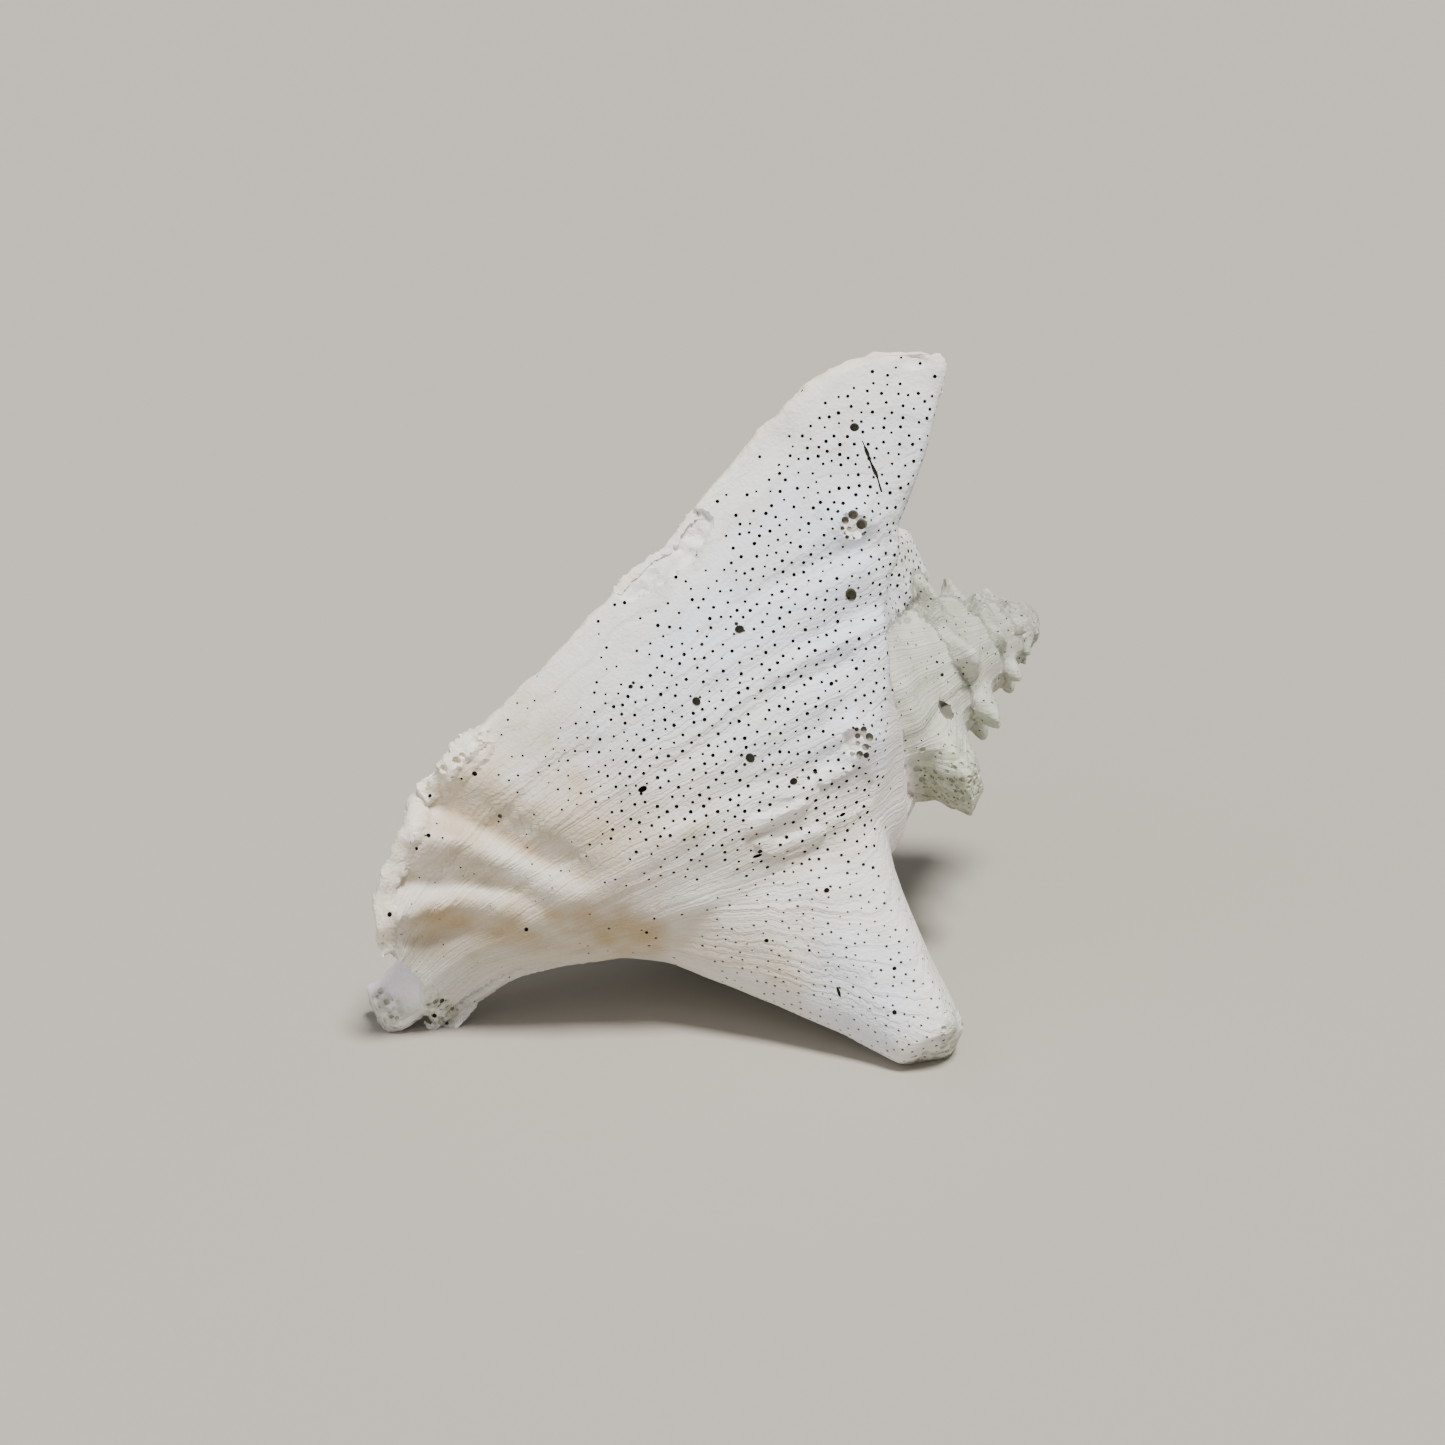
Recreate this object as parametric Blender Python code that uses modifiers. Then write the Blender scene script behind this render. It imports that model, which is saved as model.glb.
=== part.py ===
"""Conch shell, bleached and worn, resting on its canal, a long shoulder spine and a shorter one behind.

The shell is one solid. A log spiral gives the spire and the body whorl, and the last half turn of
growth opens into a wide lip that stands up like a wing. Sizes are in millimetres until the mesh is made.
"""

import math

import bmesh
import bpy
import numpy as np
from mathutils import Matrix, Vector

MM = 0.001

# The shell's own frame: the coiling axis runs from the foot to the apex; front is the side of the lip's face
FOOT = (-92.3, 22.0, 36.2)
AXIS_TURN = 24.2
AXIS_RISE = 15.66
AXIS_LENGTH = 216.5

# The front view that the face marks are set out in: its slope, its distance and the height of its centre
VIEW_DROP = 20.0
VIEW_DISTANCE = 818.0
VIEW_HEIGHT = 98.5

# Moves the bounding box's bottom centre to the origin
STAND = (-2.76, 57.75, 0.0)

# Growth: each whorl is larger than the one before by this ratio
WHORL_RATIO = 1.737
CORE_LAST_ANGLE = -300.0
CORE_WHORLS = 7
CORE_END = 156.0
CORE_TIP = 1.2
CORE_TIP_ROUND = 5.0
CORE_TIP_FULLNESS = 3.5
CORE_TIP_REACH = 22.0
CORE_TIP_START = 0.05
CORE_CROWDING = 1.5
WHORL_BLEND = 30
WALL = 4.6

# One growth line at full size, from the suture to the canal: distance from the apex, radius
GROWTH_LINE = [
    (71, 39), (84, 46), (99, 56), (113, 70), (120, 69.5), (129, 67.5), (139, 65.5), (150, 63),
    (161, 58.5), (172, 51), (183, 41), (194, 29.5), (205, 20.5), (215, 17.5), (223, 17),
]
CORE_LINE = [
    (0, 2), (50, 24), (72, 42), (84, 49), (99, 59), (113, 73), (122, 72), (135, 67), (150, 60),
    (165, 52), (180, 42), (195, 28), (210, 18), (225, 12), (250, 6),
]
SHOULDER_COLUMN = 3
SHOULDER_HEIGHT = 113.0
SHOULDER_RADIUS = 70.0
FIRST_ROW_ANGLE = -305
LAST_ROUND_ANGLE = -60
ROW_STEP = 15

# The canal bends down and back from the axis: distance from the apex, bend; it grows longer at the front
CANAL_BEND = [(130, 0), (166, 6), (189, 14), (206, 19), (228, 26)]
CANAL_BACK = [(170, 0), (189, 2), (206, 5), (228, 12)]
CANAL_STRETCH = 0.11
CANAL_STRETCH_FROM = -200.0
CANAL_STRETCH_TO = -95.0
CANAL_STRETCH_COLUMN = 9.0
CANAL_SHUT_TO = -125.0
CANAL_OPEN_FROM = -90.0
CANAL_SHUT_RADIUS = 7.0

# Growth lines set by hand where the whorl opens into the lip: growth angle, then points front, up, along
LIP_ROWS = {
    -50: [
        (18, -33, 148), (35, -43, 134), (42, -47, 123), (43, -50, 112), (43, -49, 105),
        (42, -48, 97), (40, -46, 88), (38, -46, 78), (35, -45, 67), (31, -42, 57), (26, -39, 47),
        (21, -36, 37), (15, -32, 27), (5, -31, 15), (-7, -36, -2),
    ],
    -35: [
        (22, -25, 148), (44, -34, 136), (55, -36, 125), (58, -38, 113), (57, -38, 104),
        (56, -38, 95), (54, -37, 85), (51, -36, 74), (48, -35, 64), (41, -34, 53), (35, -32, 43),
        (28, -31, 33), (20, -29, 22), (12, -28, 11), (-2, -35, -5),
    ],
    -20: [
        (26, -15, 149), (51, -23, 139), (63, -24, 130), (68, -25, 122), (67, -26, 112),
        (66, -26, 102), (64, -26, 90), (60, -26, 78), (56, -26, 66), (50, -26, 54), (42, -26, 42),
        (34, -26, 31), (26, -25, 20), (17, -25, 8), (5, -30, -7),
    ],
    -8: [
        (30, -6, 148), (56, -11, 142), (70, -11, 135), (76, -11, 127), (75, -12, 113),
        (74, -13, 102), (71, -13, 89), (67, -14, 76), (62, -16, 63), (55, -16, 51), (48, -18, 39),
        (39, -19, 27), (30, -20, 16), (21, -21, 5), (13, -25, -7),
    ],
    5: [
        (29, 1, 151), (54, -1, 143), (69, 1, 139), (79, 5, 136), (78, 1, 121), (77, 0, 107),
        (74, -2, 93), (70, -4, 79), (65, -5, 65), (58, -7, 51), (50, -9, 38), (42, -11, 25),
        (33, -13, 13), (24, -15, 2), (17, -20, -9),
    ],
    18: [
        (24, 7, 163), (43, 12, 148), (62, 16, 144), (79, 18, 141), (80, 17, 128), (80, 16, 114),
        (78, 14, 99), (73, 11, 84), (68, 9, 68), (61, 6, 52), (54, 3, 37), (45, -1, 24),
        (37, -4, 10), (29, -9, -2), (21, -16, -11),
    ],
    28: [
        (14, 20, 179), (41, 27, 155), (63, 33, 153), (81, 36, 152), (84, 36, 138), (82, 33, 123),
        (79, 30, 105), (75, 26, 88), (69, 22, 71), (61, 18, 54), (55, 14, 37), (47, 8, 22),
        (39, 2, 7), (32, -4, -6), (23, -14, -12),
    ],
    34: [
        (16, 30, 180), (40, 38, 165), (70, 48, 165), (89, 53, 167), (88, 53, 153), (85, 50, 136),
        (81, 46, 116), (75, 40, 97), (69, 34, 77), (62, 28, 56), (55, 22, 37), (48, 16, 19),
        (41, 9, 4), (32, 0, -8), (23, -13, -13),
    ],
    38: [
        (17, 46, 179), (45, 42, 170), (85, 60, 174), (96, 75, 181), (92, 84, 167), (87, 85, 149),
        (79, 75, 123), (71, 61, 93), (65, 52, 72), (59, 44, 52), (54, 37, 34), (48, 29, 18),
        (40, 17, 1), (32, 3, -12), (24, -13, -15),
    ],
}

# Fuller ramp between suture and shoulder towards the lip: growth angles from and to, added radius
RAMP_FROM = -150.0
RAMP_TO = -65.0
RAMP_FULLNESS = (0.0, 2.5, 2.5)

# Shoulder spines of the last whorl: growth angle, length out, lean to the apex, half width in degrees,
# in columns to the suture and in columns to the canal, width of the blunt tip, hollowness of the flanks
SHOULDER_SPINES = [
    (-62.0, 49.8, 3.0, 34.0, 1.5, 6.4, 0.34, 1.35),
    (-125.0, 19.0, 0.0, 25.0, 2.6, 3.2, 0.14, 1.5),
    (-188.0, 15.0, 2.0, 23.0, 2.4, 3.0, 0.10, 1.6),
    (-243.0, 8.0, 1.0, 20.0, 2.2, 2.6, 0.10, 1.5),
]

# Spines of the spire: the thick one on the whorl before, then a row at even turns, shrinking
THICK_SPINE = (-416.0, 17.0, 34.0, 7.0, 0.42)
SPIRE_SPINE_FIRST = -500.0
SPIRE_SPINE_STEP = 45.0
SPIRE_SPINE_COUNT = 25
SPIRE_SPINE_LENGTH = 0.38
SPIRE_SPINE_UNEVEN = 0.2
SPIRE_SPINE_BEAT = 2.3
SPIRE_SPINE_WIDTH = 19.0
SPIRE_SPINE_DEPTH = 20.0
SPIRE_SPINE_BLUNT = 0.2
SPIRE_SPINE_HOLLOW = 1.3

# The columella, the shell's inner pillar: front, up, along the axis, radius
COLUMELLA = [
    (0, 0, 150, 12), (0, 0, 110, 13), (0, 0, 80, 12), (0, -2, 55, 11), (-2, -8, 32, 10),
    (-3, -15, 14, 9.5), (-4, -22, -2, 9), (-7, -26, -12, 8.5), (-9, -26, -18, 7.5),
]
COLUMELLA_STEPS = 3

# Folds of the lip's face in the front view from its centre: height, width, then the line's places
FOLDS = [
    (-4.5, 4.6, [(-79, -21), (-69, -25), (-57, -32), (-45, -37), (-36, -43)]),
    (2.2, 4.0, [(-78, -33), (-63, -36), (-51, -41), (-42, -46)]),
    (-3.2, 3.6, [(-84, -42), (-69, -43), (-58, -45), (-47, -50)]),
    (2.4, 3.6, [(-90, -55), (-80, -52), (-67, -50), (-60, -52)]),
    (-2.4, 3.0, [(-81, -58), (-71, -56), (-62, -57)]),
    (1.8, 5.0, [(-60, -14), (-45, -24), (-30, -33), (-12, -42)]),
]

# Worn knobs and humps on the face: right, up, width, rise
KNOBS = [(37.1, -5.2, 6.5, 4.0), (35.7, 53.5, 6.0, 3.2), (31.0, -29.0, 7.0, 1.5), (28.4, -45.8, 5.0, 1.6)]
FACE_FROM = -70.0
FACE_TO = -35.0
FACE_EDGE = 1.5
FOLD_FADE = 0.75

# Larger round borings in the face: right, up, radius, depth below the picture plane of the front view
BORINGS = [
    (36.0, 80.5, 1.5, 3.0), (35.2, 34.6, 2.0, 3.0), (4.6, 25.4, 1.5, -1.5), (-7.1, 5.7, 1.5, -1.5),
    (7.6, -9.8, 1.5, 1.0), (19.4, -16.1, 1.4, 1.0), (37.5, -5.0, 2.2, 0.0), (36.2, 53.4, 2.0, 0.0),
]
BORING_LENGTH = 14.0
BORING_SIDES = 7

SHELL_WHITE = (0.80, 0.77, 0.71, 1.0)
SHELL_ROUGHNESS = 0.75
FINE_STEP = 4
CORE_AROUND = 144
CORE_ALONG = 110
COLUMELLA_SIDES = 16
SKIN_SIZE = 1.9
TRIANGLE_SHARE = 0.085
GROUND_BLOCK = 400.0
GROUND_DEPTH = 20.0


def unit(vector):
    """A vector made one long."""
    vector = np.asarray(vector, dtype=float)
    return vector / np.linalg.norm(vector)


def shell_frame():
    """The three directions of the shell's frame: front, up and along the axis."""
    turn = math.radians(AXIS_TURN)
    rise = math.radians(AXIS_RISE)
    along = np.array([math.cos(rise) * math.cos(turn), math.cos(rise) * math.sin(turn), math.sin(rise)])
    drop = math.radians(VIEW_DROP)
    toward = np.array([0.0, -math.cos(drop), math.sin(drop)])
    front = unit(toward - toward.dot(along) * along)
    return np.array([front, np.cross(front, along), along])


def to_world(points):
    """Shell frame to world, still in millimetres."""
    return np.asarray(points, dtype=float) @ shell_frame() + np.array(FOOT) - np.array(STAND)


def growth_scale(angle):
    """Size of the shell's section at a growth angle in degrees; 1 where the last whorl faces the front."""
    return WHORL_RATIO ** (np.asarray(angle, dtype=float) / 360.0)


def ease(value):
    """A smooth step from 0 to 1."""
    value = np.clip(value, 0.0, 1.0)
    return value * value * (3.0 - 2.0 * value)


def smooth_rows(values, steps):
    """A Catmull-Rom spline through the rows of an array, with a number of steps for each span."""
    values = np.asarray(values, dtype=float)
    padded = np.concatenate([[2 * values[0] - values[1]], values, [2 * values[-1] - values[-2]]])
    result = []
    for start in range(len(values) - 1):
        before, here, there, after = padded[start:start + 4]
        for step in range(steps):
            t = step / steps
            square = 2 * before - 5 * here + 4 * there - after
            cube = 3 * here - before - 3 * there + after
            result.append(0.5 * (2 * here + (there - before) * t + square * t ** 2 + cube * t ** 3))
    result.append(values[-1])
    return np.array(result)


def bend_at(height, bend=CANAL_BEND):
    """How far the canal's middle line lies away from the axis."""
    heights, bends = zip(*bend)
    return np.interp(height, heights, bends, right=bends[-1])


def round_row(angle):
    """A growth line of the body whorl in the shell's frame."""
    scale = growth_scale(angle)
    stretch = CANAL_STRETCH * ease((angle - CANAL_STRETCH_FROM) / (CANAL_STRETCH_TO - CANAL_STRETCH_FROM))
    fullness = ease((angle - RAMP_FROM) / (RAMP_TO - RAMP_FROM))
    row = []
    for column, (height, radius) in enumerate(GROWTH_LINE):
        reach = ease((column - CANAL_STRETCH_COLUMN) / (len(GROWTH_LINE) - 1 - CANAL_STRETCH_COLUMN))
        height = height * scale * (1.0 + stretch * reach)
        radius = radius * scale
        if column < len(RAMP_FULLNESS):
            radius += RAMP_FULLNESS[column] * fullness
        if column == len(GROWTH_LINE) - 1:
            open_share = ease((angle - CANAL_SHUT_TO) / (CANAL_OPEN_FROM - CANAL_SHUT_TO))
            radius = CANAL_SHUT_RADIUS + (radius - CANAL_SHUT_RADIUS) * open_share
        turn = math.radians(angle)
        front = radius * math.cos(turn) - bend_at(height, CANAL_BACK)
        row.append((front, radius * math.sin(turn) - bend_at(height), AXIS_LENGTH - height))
    return row


def spine_push(angles, columns):
    """How far the shoulder spines move each point of the sheet, in the shell's frame."""
    push = np.zeros(angles.shape + (3,))
    for turn, length, lean, half_turn, to_suture, to_canal, blunt, hollow in SHOULDER_SPINES:
        across = columns - SHOULDER_COLUMN
        away = np.hypot((angles - turn) / half_turn, across / np.where(across < 0.0, to_suture, to_canal))
        away = np.clip((away - blunt) / (1.0 - blunt), 0.0, 1.0)
        weight = (1.0 - away) ** hollow
        out = np.array([math.cos(math.radians(turn)), math.sin(math.radians(turn)), 0.0]) * length
        out[2] = lean
        push += weight[..., None] * out
    return push


def sheet_points(steps):
    """The outer face of the last whorl and the lip, as a grid of points: growth along the first axis."""
    angles = list(range(FIRST_ROW_ANGLE, LAST_ROUND_ANGLE, ROW_STEP))
    rows = [round_row(angle) for angle in angles]
    for angle, row in LIP_ROWS.items():
        angles.append(angle)
        rows.append(row)
    grid = smooth_rows(rows, steps)
    fine_angles = smooth_rows(angles, steps)
    grid = smooth_rows(grid.transpose(1, 0, 2), steps).transpose(1, 0, 2)
    columns = np.linspace(0.0, len(GROWTH_LINE) - 1.0, grid.shape[1])
    angle_grid, column_grid = np.meshgrid(fine_angles, columns, indexing="ij")
    grid = grid + spine_push(angle_grid, column_grid)
    right, up, near = front_view(to_world(grid))
    relief = face_relief(right, up) * ease((angle_grid - FACE_FROM) / (FACE_TO - FACE_FROM))
    relief = relief * ease((column_grid - SHOULDER_COLUMN) / FACE_EDGE + 1.0)
    return grid + relief[..., None] * np.array([1.0, 0.0, 0.0])


def front_view(points):
    """Where world points, in millimetres, appear in the front view, and how near they are to it."""
    drop = math.radians(VIEW_DROP)
    points = points + np.array(STAND) - np.array([0.0, 0.0, VIEW_HEIGHT])
    near = points @ np.array([0.0, -math.cos(drop), math.sin(drop)])
    up = points @ np.array([0.0, math.sin(drop), math.cos(drop)])
    shrink = 1.0 - near / VIEW_DISTANCE
    return points[..., 0] / shrink, up / shrink, near


def line_distance(right, up, line):
    """Distance from places in the front view to a broken line, and their share of the way along it."""
    best = np.full(right.shape, 1e9)
    along = np.zeros(right.shape)
    spans = len(line) - 1
    for index in range(spans):
        start = np.array(line[index], dtype=float)
        span = np.array(line[index + 1], dtype=float) - start
        reach = (right - start[0]) * span[0] + (up - start[1]) * span[1]
        share = np.clip(reach / span.dot(span), 0.0, 1.0)
        away = np.hypot(right - start[0] - share * span[0], up - start[1] - share * span[1])
        along = np.where(away < best, (index + share) / spans, along)
        best = np.minimum(best, away)
    return best, along


def face_relief(right, up):
    """Height of the folds and worn knobs on the lip's face."""
    height = np.zeros(right.shape)
    for depth, width, line in FOLDS:
        away, along = line_distance(right, up, line)
        height += depth * np.exp(-(away / width) ** 2) * (1.0 - FOLD_FADE * along)
    for knob_right, knob_up, size, rise in KNOBS:
        height += rise * np.exp(-((right - knob_right) ** 2 + (up - knob_up) ** 2) / size ** 2)
    return height


def whorl_radius(heights, angles):
    """Radius of one whorl at distances from the apex, for growth angles; small past the ends of its line."""
    scale = growth_scale(angles)
    line = smooth_rows(CORE_LINE, FINE_STEP)
    return np.interp(heights / scale, line[:, 0], line[:, 1]) * scale


def spire_spines():
    """Growth angle, length, half width in degrees, lean to the apex and bluntness of the spire's spines."""
    spines = [THICK_SPINE]
    for index in range(SPIRE_SPINE_COUNT):
        angle = SPIRE_SPINE_FIRST - SPIRE_SPINE_STEP * index
        shoulder = SHOULDER_RADIUS * float(growth_scale(angle))
        vary = 1.0 + SPIRE_SPINE_UNEVEN * math.sin(SPIRE_SPINE_BEAT * index)
        length = shoulder * SPIRE_SPINE_LENGTH * vary
        spines.append((angle, length, SPIRE_SPINE_WIDTH, 0.0, SPIRE_SPINE_BLUNT))
    return spines


def core_radius(heights, turns):
    """Radius of the coiled core: the outermost whorl at each place, with its spines and a rounded apex."""
    total = np.zeros(heights.shape)
    for whorl in range(1, CORE_WHORLS):
        angles = turns - 360.0 * whorl
        radius = whorl_radius(heights, angles)
        scale = growth_scale(angles)
        for spine_turn, length, half_width, lean, blunt in spire_spines():
            down = (heights - SHOULDER_HEIGHT * scale + lean) / (SPIRE_SPINE_DEPTH * scale)
            away = np.hypot((angles - spine_turn) / half_width, down)
            away = np.clip((away - blunt) / (1.0 - blunt), 0.0, 1.0)
            radius = radius + length * (1.0 - away) ** SPIRE_SPINE_HOLLOW
        total += radius ** WHORL_BLEND
    rounding = np.sqrt(np.clip((heights - CORE_TIP) / CORE_TIP_ROUND, 0.0, 1.0))
    fullness = CORE_TIP_FULLNESS * np.exp(-(heights / CORE_TIP_REACH) ** 2)
    return (total ** (1.0 / WHORL_BLEND) + fullness) * rounding


def grid_mesh(name, grid, closed_around=False, caps=False):
    """A mesh from a grid of points, in metres and in world space; closed round its second axis on request."""
    rows, columns = grid.shape[:2]
    mesh = bmesh.new()
    verts = [[mesh.verts.new(point) for point in line] for line in to_world(grid) * MM]
    last = columns if closed_around else columns - 1
    for row in range(rows - 1):
        for column in range(last):
            ahead = (column + 1) % columns
            here, there = verts[row], verts[row + 1]
            mesh.faces.new((here[column], here[ahead], there[ahead], there[column]))
    if caps:
        mesh.faces.new(verts[0])
        mesh.faces.new(reversed(verts[-1]))
    bmesh.ops.recalc_face_normals(mesh, faces=mesh.faces)
    data = bpy.data.meshes.new(name)
    mesh.to_mesh(data)
    mesh.free()
    return data


def core_grid(around, along):
    """The spire and the inside of the body whorl, as rings round the axis."""
    start = CORE_TIP + CORE_TIP_START
    heights = start + (CORE_END - start) * np.linspace(0.0, 1.0, along) ** CORE_CROWDING
    turns = CORE_LAST_ANGLE + 360.0 - 360.0 * np.arange(around) / around
    height_grid, turn_grid = np.meshgrid(heights, turns, indexing="ij")
    radius = core_radius(height_grid, turn_grid)
    angle = np.radians(turn_grid)
    up = radius * np.sin(angle) - bend_at(height_grid)
    return np.stack([radius * np.cos(angle), up, AXIS_LENGTH - height_grid], axis=-1)


def columella_grid(around):
    """The inner pillar down to the end of the canal, as rings."""
    line = smooth_rows(COLUMELLA, COLUMELLA_STEPS)
    rings = []
    for front, up, along, radius in line:
        turns = np.linspace(0.0, 2.0 * math.pi, around, endpoint=False)
        ring = [front + radius * np.cos(turns), up + radius * np.sin(turns), np.full(around, along)]
        rings.append(np.stack(ring, axis=-1))
    return np.array(rings)


def clear_scene():
    """Removes what the file starts with."""
    for item in list(bpy.data.objects):
        bpy.data.objects.remove(item, do_unlink=True)


def make_collection(name):
    """A collection linked to the scene."""
    group = bpy.data.collections.new(name)
    bpy.context.scene.collection.children.link(group)
    return group


def shell_material():
    """Bleached shell: chalky, a little warm."""
    material = bpy.data.materials.new("bleached_shell")
    material.use_nodes = True
    shader = material.node_tree.nodes["Principled BSDF"]
    shader.inputs["Base Color"].default_value = SHELL_WHITE
    shader.inputs["Roughness"].default_value = SHELL_ROUGHNESS
    shader.inputs["Metallic"].default_value = 0.0
    return material


def walled_sheet(name, group):
    """The sheet of the last whorl and lip, given its wall."""
    item = bpy.data.objects.new(name, grid_mesh(name, sheet_points(FINE_STEP)))
    group.objects.link(item)
    wall = item.modifiers.new("wall", "SOLIDIFY")
    wall.thickness = WALL * MM
    wall.offset = -1.0
    return item


def evaluated_copy(item):
    """The mesh of an object with its modifiers applied."""
    view = item.evaluated_get(bpy.context.evaluated_depsgraph_get())
    return bpy.data.meshes.new_from_object(view)


def ground_cutter(group):
    """A block under the shell that wears its three feet flat."""
    bpy.ops.mesh.primitive_cube_add(size=1.0)
    block = bpy.context.object
    block.name = "ground_wear"
    block.scale = (GROUND_BLOCK * MM, GROUND_BLOCK * MM, GROUND_DEPTH * MM)
    block.location = (0.0, 0.0, -GROUND_DEPTH * MM / 2.0)
    return set_cutter(block, group)


def boring_cutter(group):
    """One mesh of short pegs for the larger round holes in the lip's face."""
    pegs = bmesh.new()
    drop = math.radians(VIEW_DROP)
    toward = np.array([0.0, -math.cos(drop), math.sin(drop)])
    for right, up, radius, depth in BORINGS:
        centre = np.array([right, up * math.sin(drop), VIEW_HEIGHT + up * math.cos(drop)]) - np.array(STAND)
        centre = centre + toward * (BORING_LENGTH / 2.0 - depth)
        turn = Matrix.Rotation(math.pi / 2.0 - drop, 4, "X")
        place = Matrix.Translation(Vector(centre * MM)) @ turn
        bmesh.ops.create_cone(
            pegs, cap_ends=True, segments=BORING_SIDES, radius1=radius * MM, radius2=radius * MM,
            depth=BORING_LENGTH * MM, matrix=place,
        )
    data = bpy.data.meshes.new("borings")
    pegs.to_mesh(data)
    pegs.free()
    item = bpy.data.objects.new("borings", data)
    bpy.context.scene.collection.objects.link(item)
    return set_cutter(item, group)


def set_cutter(item, group):
    """Marks an object as a cutter and moves it to the cutters' collection."""
    for holder in list(item.users_collection):
        holder.objects.unlink(item)
    group.objects.link(item)
    item.hide_render = True
    item.display_type = "WIRE"
    return item


def cut(item, cutter):
    """Takes a cutter away from an object."""
    boolean = item.modifiers.new(cutter.name, "BOOLEAN")
    boolean.operation = "DIFFERENCE"
    boolean.solver = "EXACT"
    boolean.object = cutter


def joined_mesh(group):
    """The walled sheet, the core and the columella in one mesh, still overlapping."""
    sheet = walled_sheet("sheet", group)
    joined = bmesh.new()
    joined.from_mesh(evaluated_copy(sheet))
    joined.from_mesh(grid_mesh("core", core_grid(CORE_AROUND, CORE_ALONG), closed_around=True, caps=True))
    joined.from_mesh(grid_mesh("columella", columella_grid(COLUMELLA_SIDES), closed_around=True, caps=True))
    bpy.data.objects.remove(sheet)
    data = bpy.data.meshes.new("conch_shell")
    joined.to_mesh(data)
    joined.free()
    return data


def build():
    """Makes the shell: the parts grown as one skin, thinned, bored and worn flat at its feet."""
    clear_scene()
    group = make_collection("conch_shell")
    cutters = make_collection("cutters")
    data = joined_mesh(group)
    data.materials.append(shell_material())
    shell = bpy.data.objects.new("conch_shell", data)
    group.objects.link(shell)
    remesh = shell.modifiers.new("one_skin", "REMESH")
    remesh.mode = "VOXEL"
    remesh.voxel_size = SKIN_SIZE * MM
    remesh.use_smooth_shade = True
    thin = shell.modifiers.new("fewer_faces", "DECIMATE")
    thin.ratio = TRIANGLE_SHARE
    cut(shell, boring_cutter(cutters))
    cut(shell, ground_cutter(cutters))
    return shell


build()
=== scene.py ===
"""Dressed model of a sun-bleached conch shell, riddled with the small holes that boring sponges leave.

The shell is grown from the same growth lines as the plain solid, on a finer skin, and then worn:
growth ridges, folds, scars and a chipped lip, a crack, large borings, and some thousands of sponge pits.
"""

import math

import bmesh
import bpy
import numpy as np
from mathutils import Matrix, Vector, kdtree


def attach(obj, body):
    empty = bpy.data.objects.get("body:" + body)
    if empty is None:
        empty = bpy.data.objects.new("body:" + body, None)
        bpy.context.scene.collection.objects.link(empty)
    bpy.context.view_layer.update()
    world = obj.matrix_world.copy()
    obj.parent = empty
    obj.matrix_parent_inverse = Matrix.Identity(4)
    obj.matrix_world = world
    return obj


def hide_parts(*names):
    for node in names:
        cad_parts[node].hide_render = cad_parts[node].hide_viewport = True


bl_info = {
    "name": "Conch shell",
    "version": (1, 0, 0),
    "blender": (4, 5, 0),
    "location": "3D View > Sidebar > Conch",
    "description": "Grows a worn conch shell and lays the stage for its picture",
    "category": "Object",
}

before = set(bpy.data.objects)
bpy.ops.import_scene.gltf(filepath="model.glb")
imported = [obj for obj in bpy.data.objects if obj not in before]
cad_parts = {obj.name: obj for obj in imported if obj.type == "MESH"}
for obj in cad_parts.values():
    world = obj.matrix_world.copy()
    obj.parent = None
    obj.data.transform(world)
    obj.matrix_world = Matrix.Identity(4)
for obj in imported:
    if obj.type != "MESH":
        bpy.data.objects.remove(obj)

MM = 0.001

# The shell's own frame: the coiling axis runs from the foot to the apex, and front is the lip's side
FOOT = (-92.3, 22.0, 36.2)
AXIS_TURN = 24.2
AXIS_RISE = 15.66
AXIS_LENGTH = 216.5

# The front view that the face marks are set out in: its slope, its distance and the height of its centre
VIEW_DROP = 20.0
VIEW_DISTANCE = 818.0
VIEW_HEIGHT = 98.5
VIEW_LENS = 74.74
STAND = (-2.76, 57.75, 0.0)

# Growth: each whorl is larger than the one before by this ratio
WHORL_RATIO = 1.737
CORE_LAST_ANGLE = -300.0
CORE_WHORLS = 7
CORE_END = 156.0
CORE_TIP = 1.2
CORE_TIP_ROUND = 5.0
CORE_TIP_FULLNESS = 3.5
CORE_TIP_REACH = 22.0
CORE_TIP_START = 0.05
CORE_CROWDING = 1.5
WHORL_BLEND = 30

# One growth line at full size, from the suture to the canal: distance from the apex, radius
GROWTH_LINE = [
    (71, 39), (84, 46), (99, 56), (113, 70), (120, 69.5), (129, 67.5), (139, 65.5), (150, 63),
    (161, 58.5), (172, 51), (183, 41), (194, 29.5), (205, 20.5), (215, 17.5), (223, 17),
]
CORE_LINE = [
    (0, 2), (50, 24), (72, 42), (84, 49), (99, 59), (113, 73), (122, 72), (135, 67), (150, 60),
    (165, 52), (180, 42), (195, 28), (210, 18), (225, 12), (250, 6),
]
SHOULDER_COLUMN = 3
SHOULDER_HEIGHT = 113.0
SHOULDER_RADIUS = 70.0
FIRST_ROW_ANGLE = -305
LAST_ROUND_ANGLE = -60
ROW_STEP = 15

# The canal bends down and back from the axis: distance from the apex, bend; it grows longer at the front
CANAL_BEND = [(130, 0), (166, 6), (189, 14), (206, 19), (228, 26)]
CANAL_BACK = [(170, 0), (189, 2), (206, 5), (228, 12)]
CANAL_STRETCH = 0.11
CANAL_STRETCH_FROM = -200.0
CANAL_STRETCH_TO = -95.0
CANAL_STRETCH_COLUMN = 9.0
CANAL_SHUT_TO = -125.0
CANAL_OPEN_FROM = -90.0
CANAL_SHUT_RADIUS = 7.0

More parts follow.
